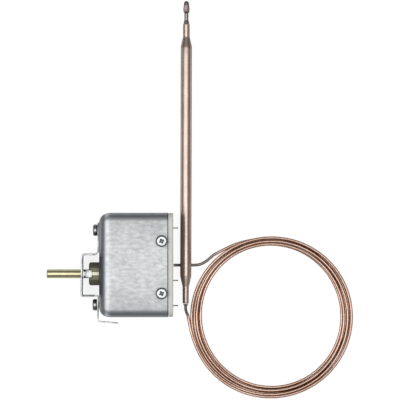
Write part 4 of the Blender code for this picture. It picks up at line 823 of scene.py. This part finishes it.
def make_base(mats):
    """The plate's section is a rounded rectangle, narrowed at both faces by a small moulded radius, with a
    shorter and smaller section before it that enters the can."""
    half_y = CAN_HALF_Y - 0.2 * MM
    half_z = AXIS_Z - 0.2 * MM
    inner_y = CAN_HALF_Y - 1.5 * MM
    inner_z = AXIS_Z - 1.5 * MM
    round_off = 0.45 * MM
    swing = np.linspace(0, np.pi / 2, 6)
    order = [(x, inner_y, inner_z, 4.5 * MM) for x in (BASE_SPIGOT, BASE_FRONT)]
    for face, inward, arc in ((BASE_FRONT, 1, swing[::-1]), (BASE_BACK, -1, swing)):
        for s in arc:
            inset = round_off * (1 - np.cos(s))
            order.append((face + inward * round_off * (1 - np.sin(s)), half_y - inset, half_z - inset,
                          CAN_EDGE_RADIUS - inset))
    loops = []
    for x, hy, hz, corner in order:
        loop = rounded_loop(hy, hz, corner, 8)
        loops.append(np.concatenate((np.full((len(loop), 1), x), loop + np.array((0, AXIS_Z))), axis=1))
    base = skin("terminal_plate", np.stack(loops), mats["moulding"], 40.0)
    for y, z in TABS:
        notch(base, "slot", (10 * MM, (y - 0.7) * MM, (z - 3.45) * MM),
              (30 * MM, (y + 0.7) * MM, (z + 3.45) * MM))
    drill(base, "pipe_bore", "X", (20 * MM, EXIT[1], EXIT[2]), 1.3 * MM, 12 * MM)
    smooth(base, 40)
    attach(base, "root")
    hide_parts("base_plate")


# Spindle, bush, strap and screws

def make_spindle(mats):
    """A plain bar, rounded at its free end by a quarter circle and chamfered at its inner one."""
    cut = SPINDLE_CHAMFER
    swing = np.linspace(0, np.pi / 2, 7)
    plain = np.linspace(SPINDLE_TIP + cut, SPINDLE_END - cut, 12)[1:]
    at = np.concatenate((SPINDLE_TIP + cut * (1 - np.cos(swing)), plain, (SPINDLE_END,)))
    radius = np.full(len(at), SPINDLE_RADIUS)
    radius[:len(swing)] -= cut * (1 - np.sin(swing))
    radius[-1] -= cut
    matrix = along("X", (0, AXIS_Y, AXIS_Z))
    spindle = turned("turned_spindle", at, radius, matrix, mats["brass"], 64, 50.0)
    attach(spindle, "spindle")
    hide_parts("spindle")


def make_bush(mats):
    """A hexagon's edge distance in each direction, limited by a cone that chamfers its corners."""
    angle = np.linspace(0, 2 * np.pi, 120, endpoint=False)
    flat = HEX_ACROSS_FLATS / 2
    to_flat = (angle + np.pi / 6) % (np.pi / 3) - np.pi / 6
    hexagon = flat / np.cos(to_flat)
    corner = flat / math.cos(math.pi / 6)
    at = np.array((0.0, 0.25, 0.5, 0.75, 1.0, 3.0, 6.9)) * MM
    cone = flat - 0.25 * MM + at * 1.6
    radius = np.minimum(hexagon[None, :], np.minimum(cone[:, None], corner * 0.985))
    grid = np.stack((HEX_FRONT + at[:, None] + 0 * angle, AXIS_Y + radius * np.sin(angle),
                     AXIS_Z + radius * np.cos(angle)), axis=-1)
    bush = skin("bush", grid, mats["bush"], 30.0)
    drill(bush, "bore", "X", (HEX_FRONT, AXIS_Y, AXIS_Z), SPINDLE_RADIUS + 0.3 * MM, 12 * MM, 64)
    notch(bush, "slot", (HEX_FRONT - 1 * MM, AXIS_Y - 3.05 * MM, AXIS_Z + 3 * MM),
          (HEX_FRONT + 2.4 * MM, AXIS_Y + 3.05 * MM, AXIS_Z + 14 * MM))
    # The groove's faces take the brighter finish, a painted highlight along the top flat.
    notch(bush, "groove", (HEX_FRONT - 1 * MM, -7.1 * MM, AXIS_Z + flat - 0.3 * MM),
          (HEX_BACK + 1 * MM, -5.0 * MM, AXIS_Z + 2 * flat), mats["groove"])
    smooth(bush, 25)
    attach(bush, "root")
    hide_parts("hex_bush")


def make_spring(mats):
    """The range spring, made in two halves.

    The wire's middle goes round the spindle at SPRING_RADIUS. Along X it rises evenly in the first turn and in
    the last one by the closed pitch, and the turns between share what is left evenly.
    """
    wire = SPRING_WIRE
    closed = SPRING_CLOSED_PITCH
    open_length = SPRING_REAR - SPRING_FRONT - wire - 2 * closed
    turns = np.linspace(0, SPRING_TURNS, SPRING_TURNS * 40 + 1)
    first = np.clip(turns, 0, 1)
    middle = np.clip((turns - 1) / (SPRING_TURNS - 2), 0, 1)
    last = np.clip(turns - SPRING_TURNS + 1, 0, 1)
    x = SPRING_FRONT + wire / 2 + closed * (first + last) + open_length * middle
    angle = 2 * np.pi * turns
    line = np.stack((x, AXIS_Y + SPRING_RADIUS * np.cos(angle), AXIS_Z + SPRING_RADIUS * np.sin(angle)),
                    axis=-1)
    half = len(line) // 2
    front_end = SPRING_FRONT + wire + closed
    rear_end = SPRING_REAR - wire - closed
    halves = (("front", line[:half + 1], ("adjuster", "root"), front_end, x[half] - wire / 2),
              ("rear", line[half:], ("root", "lever"), x[half] + wire / 2, rear_end))
    for name, part, bodies, start, end in halves:
        piece = pipe("range_spring_" + name, part, wire / 2, mats["spring"], upright=(1.0, 0, 0))
        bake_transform(piece)
        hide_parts("range_spring")


def bent_line(corners, bend, steps=8):
    """An open line through corners, each turned into an arc of one radius."""
    points = [np.array(corners[:1])]
    for before, corner, after in zip(corners, corners[1:], corners[2:]):
        before, corner, after = (np.array(p, dtype=float) for p in (before, corner, after))
        back = (before - corner) / np.linalg.norm(before - corner)
        ahead = (after - corner) / np.linalg.norm(after - corner)
        half = math.acos(np.clip(np.dot(back, ahead), -1, 1)) / 2
        reach = bend / math.tan(half)
        middle = corner + (back + ahead) / np.linalg.norm(back + ahead) * bend / math.sin(half)
        first = corner + back * reach - middle
        last = corner + ahead * reach - middle
        sweep = math.atan2(first[0] * last[1] - first[1] * last[0], np.dot(first, last))
        swing = np.linspace(0, sweep, steps + 1)[:, None]
        points.append(middle + np.cos(swing) * first + np.sin(swing) * np.array((-first[1], first[0])))
    points.append(np.array(corners[-1:]))
    return np.concatenate(points)


def ribbon(name, line, widths, middle_z, thickness, mat):
    """A strip: the line's points offset half the sheet to each side, and each point's own width in Z."""
    ahead = np.gradient(line, axis=0)
    ahead /= np.linalg.norm(ahead, axis=1)[:, None]
    side = np.stack((-ahead[:, 1], ahead[:, 0]), axis=-1) * thickness / 2
    rings = []
    for sign_s, sign_z in ((1, -1), (1, 1), (-1, 1), (-1, -1)):
        place = line + sign_s * side
        rings.append(np.concatenate((place, (middle_z + sign_z * widths / 2)[:, None]), axis=1))
    return skin(name, np.stack(rings, axis=1), mat, 40.0)


def cut_strip(strip, name, x, y, z):
    """Notch a strip between two X, two Y and two Z, all in mm."""
    low, high = (np.array(corner) * MM for corner in zip(sorted(x), sorted(y), sorted(z)))
    notch(strip, name, low, high)


def make_strap(mats):
    """One strip folded along a line of corners, given in mm: the upper ear, the hat in front of the bush, the
    lower ear and the earth tab. Wide strip is cut away beside the ears and the tab."""
    ear_x = -24.4
    low_x = ear_x - 0.3
    hat_x = ear_x - 11.0
    drop = math.radians(5)
    corners = [(ear_x, 29.0), (ear_x, 9.1), (ear_x - 2.0, 7.1), (hat_x, 7.1), (hat_x - 0.5, -21.4),
               (low_x, -21.4), (low_x, -39.0), (low_x + 14 * math.cos(drop), -39.0 - 14 * math.sin(drop))]
    line = bent_line([(x * MM, y * MM) for x, y in corners], STRAP_BEND)
    wide = np.full(len(line), 38.0 * MM)
    strap = ribbon("strap", line, wide, AXIS_Z, STRAP_SHEET, mats["strap"])
    axis_y = AXIS_Y / MM
    axis_z = AXIS_Z / MM
    for sign in (-1, 1):
        outside = axis_z + sign * 30
        beside = (axis_z + sign * 7, outside)
        cut_strip(strap, "cut", (-27.4, 23.6), (6.1, 31), beside)
        cut_strip(strap, "cut", (-27.4, 23.6), (-44, -20.4), beside)
        cut_strip(strap, "cut", (-27.4, 23.6), (-44, -35.8), (axis_z + sign * 3.15, outside))
        drill(strap, "bore", "X", (-35.6 * MM, -7.15 * MM, AXIS_Z + sign * 14 * MM), 2.15 * MM, 3 * MM)
    for name, y, seat in FRONT_SCREWS:
        drill(strap, "bore", "X", (-24.5 * MM, y, AXIS_Z), SCREW_HOLE, 2 * MM)
    drill(strap, "bore", "X", (-35.6 * MM, AXIS_Y, AXIS_Z), 4.0 * MM, 3 * MM)
    cut_strip(strap, "window", (-38.4, -33.4), (axis_y - 3.05, axis_y + 3.05), (axis_z, 26.2))
    drill(strap, "eye", "Y", (-14.9 * MM, -39.85 * MM, AXIS_Z), 0.85 * MM, 2 * MM, 24)
    soften(strap, STRAP_EDGE)
    reface(strap, mats["sheared"], "normal", 2, 0.6)
    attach(strap, "root")
    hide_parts("mounting_bracket")
    make_tongue(mats)


def make_tongue(mats):
    """The tongue is folded back from the hat's window to the bush. It is made flat, then turned up."""
    line = bent_line([(-35.72 * MM, 29.0 * MM), (-35.72 * MM, 26.7 * MM), (-28.75 * MM, 26.7 * MM)],
                     STRAP_BEND)
    wide = np.full(len(line), 5.5 * MM)
    tongue = ribbon("tongue", line, wide, 0.0, STRAP_SHEET, mats["strap"])
    flat = np.empty(len(tongue.data.vertices) * 3)
    tongue.data.vertices.foreach_get("co", flat)
    flat = flat.reshape(-1, 3)
    turned_up = np.stack((flat[:, 0], AXIS_Y + flat[:, 2], flat[:, 1]), axis=-1)
    tongue.data.vertices.foreach_set("co", turned_up.ravel())
    tongue.data.flip_normals()
    axis_y = AXIS_Y / MM
    for sign in (-1, 1):
        cut_strip(tongue, "cut", (-34.4, -33.2), (axis_y + sign * 1.5, axis_y + sign * 4), (24, 28))
    soften(tongue, STRAP_EDGE)
    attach(tongue, "root")


def cross_arm(name, matrix, long, half, mat):
    """One arm of the recess: a wedge that narrows from the crown to its bottom."""
    corners = np.array(((-long, -half), (long, -half), (long, half), (-long, half)))
    rings = [np.column_stack((corners * share, np.full(4, station)))
             for station, share in ((SCREW_HEAD - 1.5 * MM, 0.5), (SCREW_HEAD + 0.5 * MM, 1.0))]
    return skin(name + "_arm", carry(np.array(rings), matrix), mat, 20.0)


def make_screw(node, matrix, mats):
    """A pan head with a cross cut in it. Below its widest ring the radius lacks the square of the share of the
    height that is left. Above, the height goes with the sine of a swing, and the radius is less by 1 minus its
    cosine, to the power 1.15, up to the flat crown."""
    widest = 1.4 * MM
    share = np.linspace(0, 1, 7)[:-1]
    swing = np.linspace(0, np.pi / 2, 14)
    at = np.concatenate(((-SCREW_LENGTH, -SCREW_LENGTH + 0.5 * MM, -0.01 * MM), widest * share,
                         widest + (SCREW_HEAD - widest) * np.sin(swing)))
    size = np.concatenate(((1.5 * MM, SCREW_SHANK, SCREW_SHANK), SCREW_RADIUS - 0.4 * MM * (1 - share) ** 2,
                           SCREW_RADIUS - (SCREW_RADIUS - SCREW_CROWN) * (1 - np.cos(swing)) ** 1.15))
    screw = turned(node + "_fine", at, size, matrix, mats["screw"], 56, 40.0)
    arms = ((25, 2.1, 0.6), (115, 2.1, 0.6), (70, 1.55, 0.45), (160, 1.55, 0.45))
    for degrees, long, half in arms:
        arm = matrix @ Matrix.Rotation(math.radians(degrees), 4, "Z")
        # The recess's cut faces take the dark recess finish, which is painted shade.
        hollow(screw, cross_arm(node, arm, long * MM, half * MM, mats["recess"]))
    smooth(screw, 40)
    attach(screw, "root")
    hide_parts(node)


def make_screws(mats):
    """Two screws stand on the strap's ears, and two on the can's upper flat."""
    for name, y, seat in FRONT_SCREWS:
        make_screw("front_screw_" + name, along("-X", (seat, y, AXIS_Z)), mats)
    for name, y in SIDE_SCREWS:
        make_screw("side_screw_" + name, along("Z", (SIDE_SCREW_X, y, CAN_DEPTH + 0.3 * MM)), mats)


def dress_nodes(mats):
    """The solids that stay visible take their finish from this list."""
    wear = {
        "steel": ("stop_sector", "stop_pin", "inner_frame", "main_lever", "lever_pin", "push_button",
                  "capsule_nut", "blade_rivet", "screw_insert_upper", "screw_insert_lower"),
        "brass": ("adjusting_nut", "trim_screw"),
        "tab": ("common_terminal", "break_terminal", "make_terminal"),
        "bush": ("bush_nut",),
        "bronze": ("diaphragm_capsule", "contact_blade"),
        "silver": ("moving_contact", "break_contact", "make_contact"),
        "ceramic": ("push_pin",),
        "capillary": ("capillary_inlet",),
    }
    for finish_name, nodes in wear.items():
        for node in nodes:
            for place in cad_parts[node].material_slots:
                place.material = mats[finish_name]


make_camera()
make_light()
make_floor()
finishes = make_finishes()
cord_length = make_capillary(finishes)
make_bulb(finishes)
make_can(finishes)
make_base(finishes)
make_spindle(finishes)
make_bush(finishes)
make_spring(finishes)
make_strap(finishes)
make_screws(finishes)
dress_nodes(finishes)
bpy.context.scene.view_settings.view_transform = "Standard"
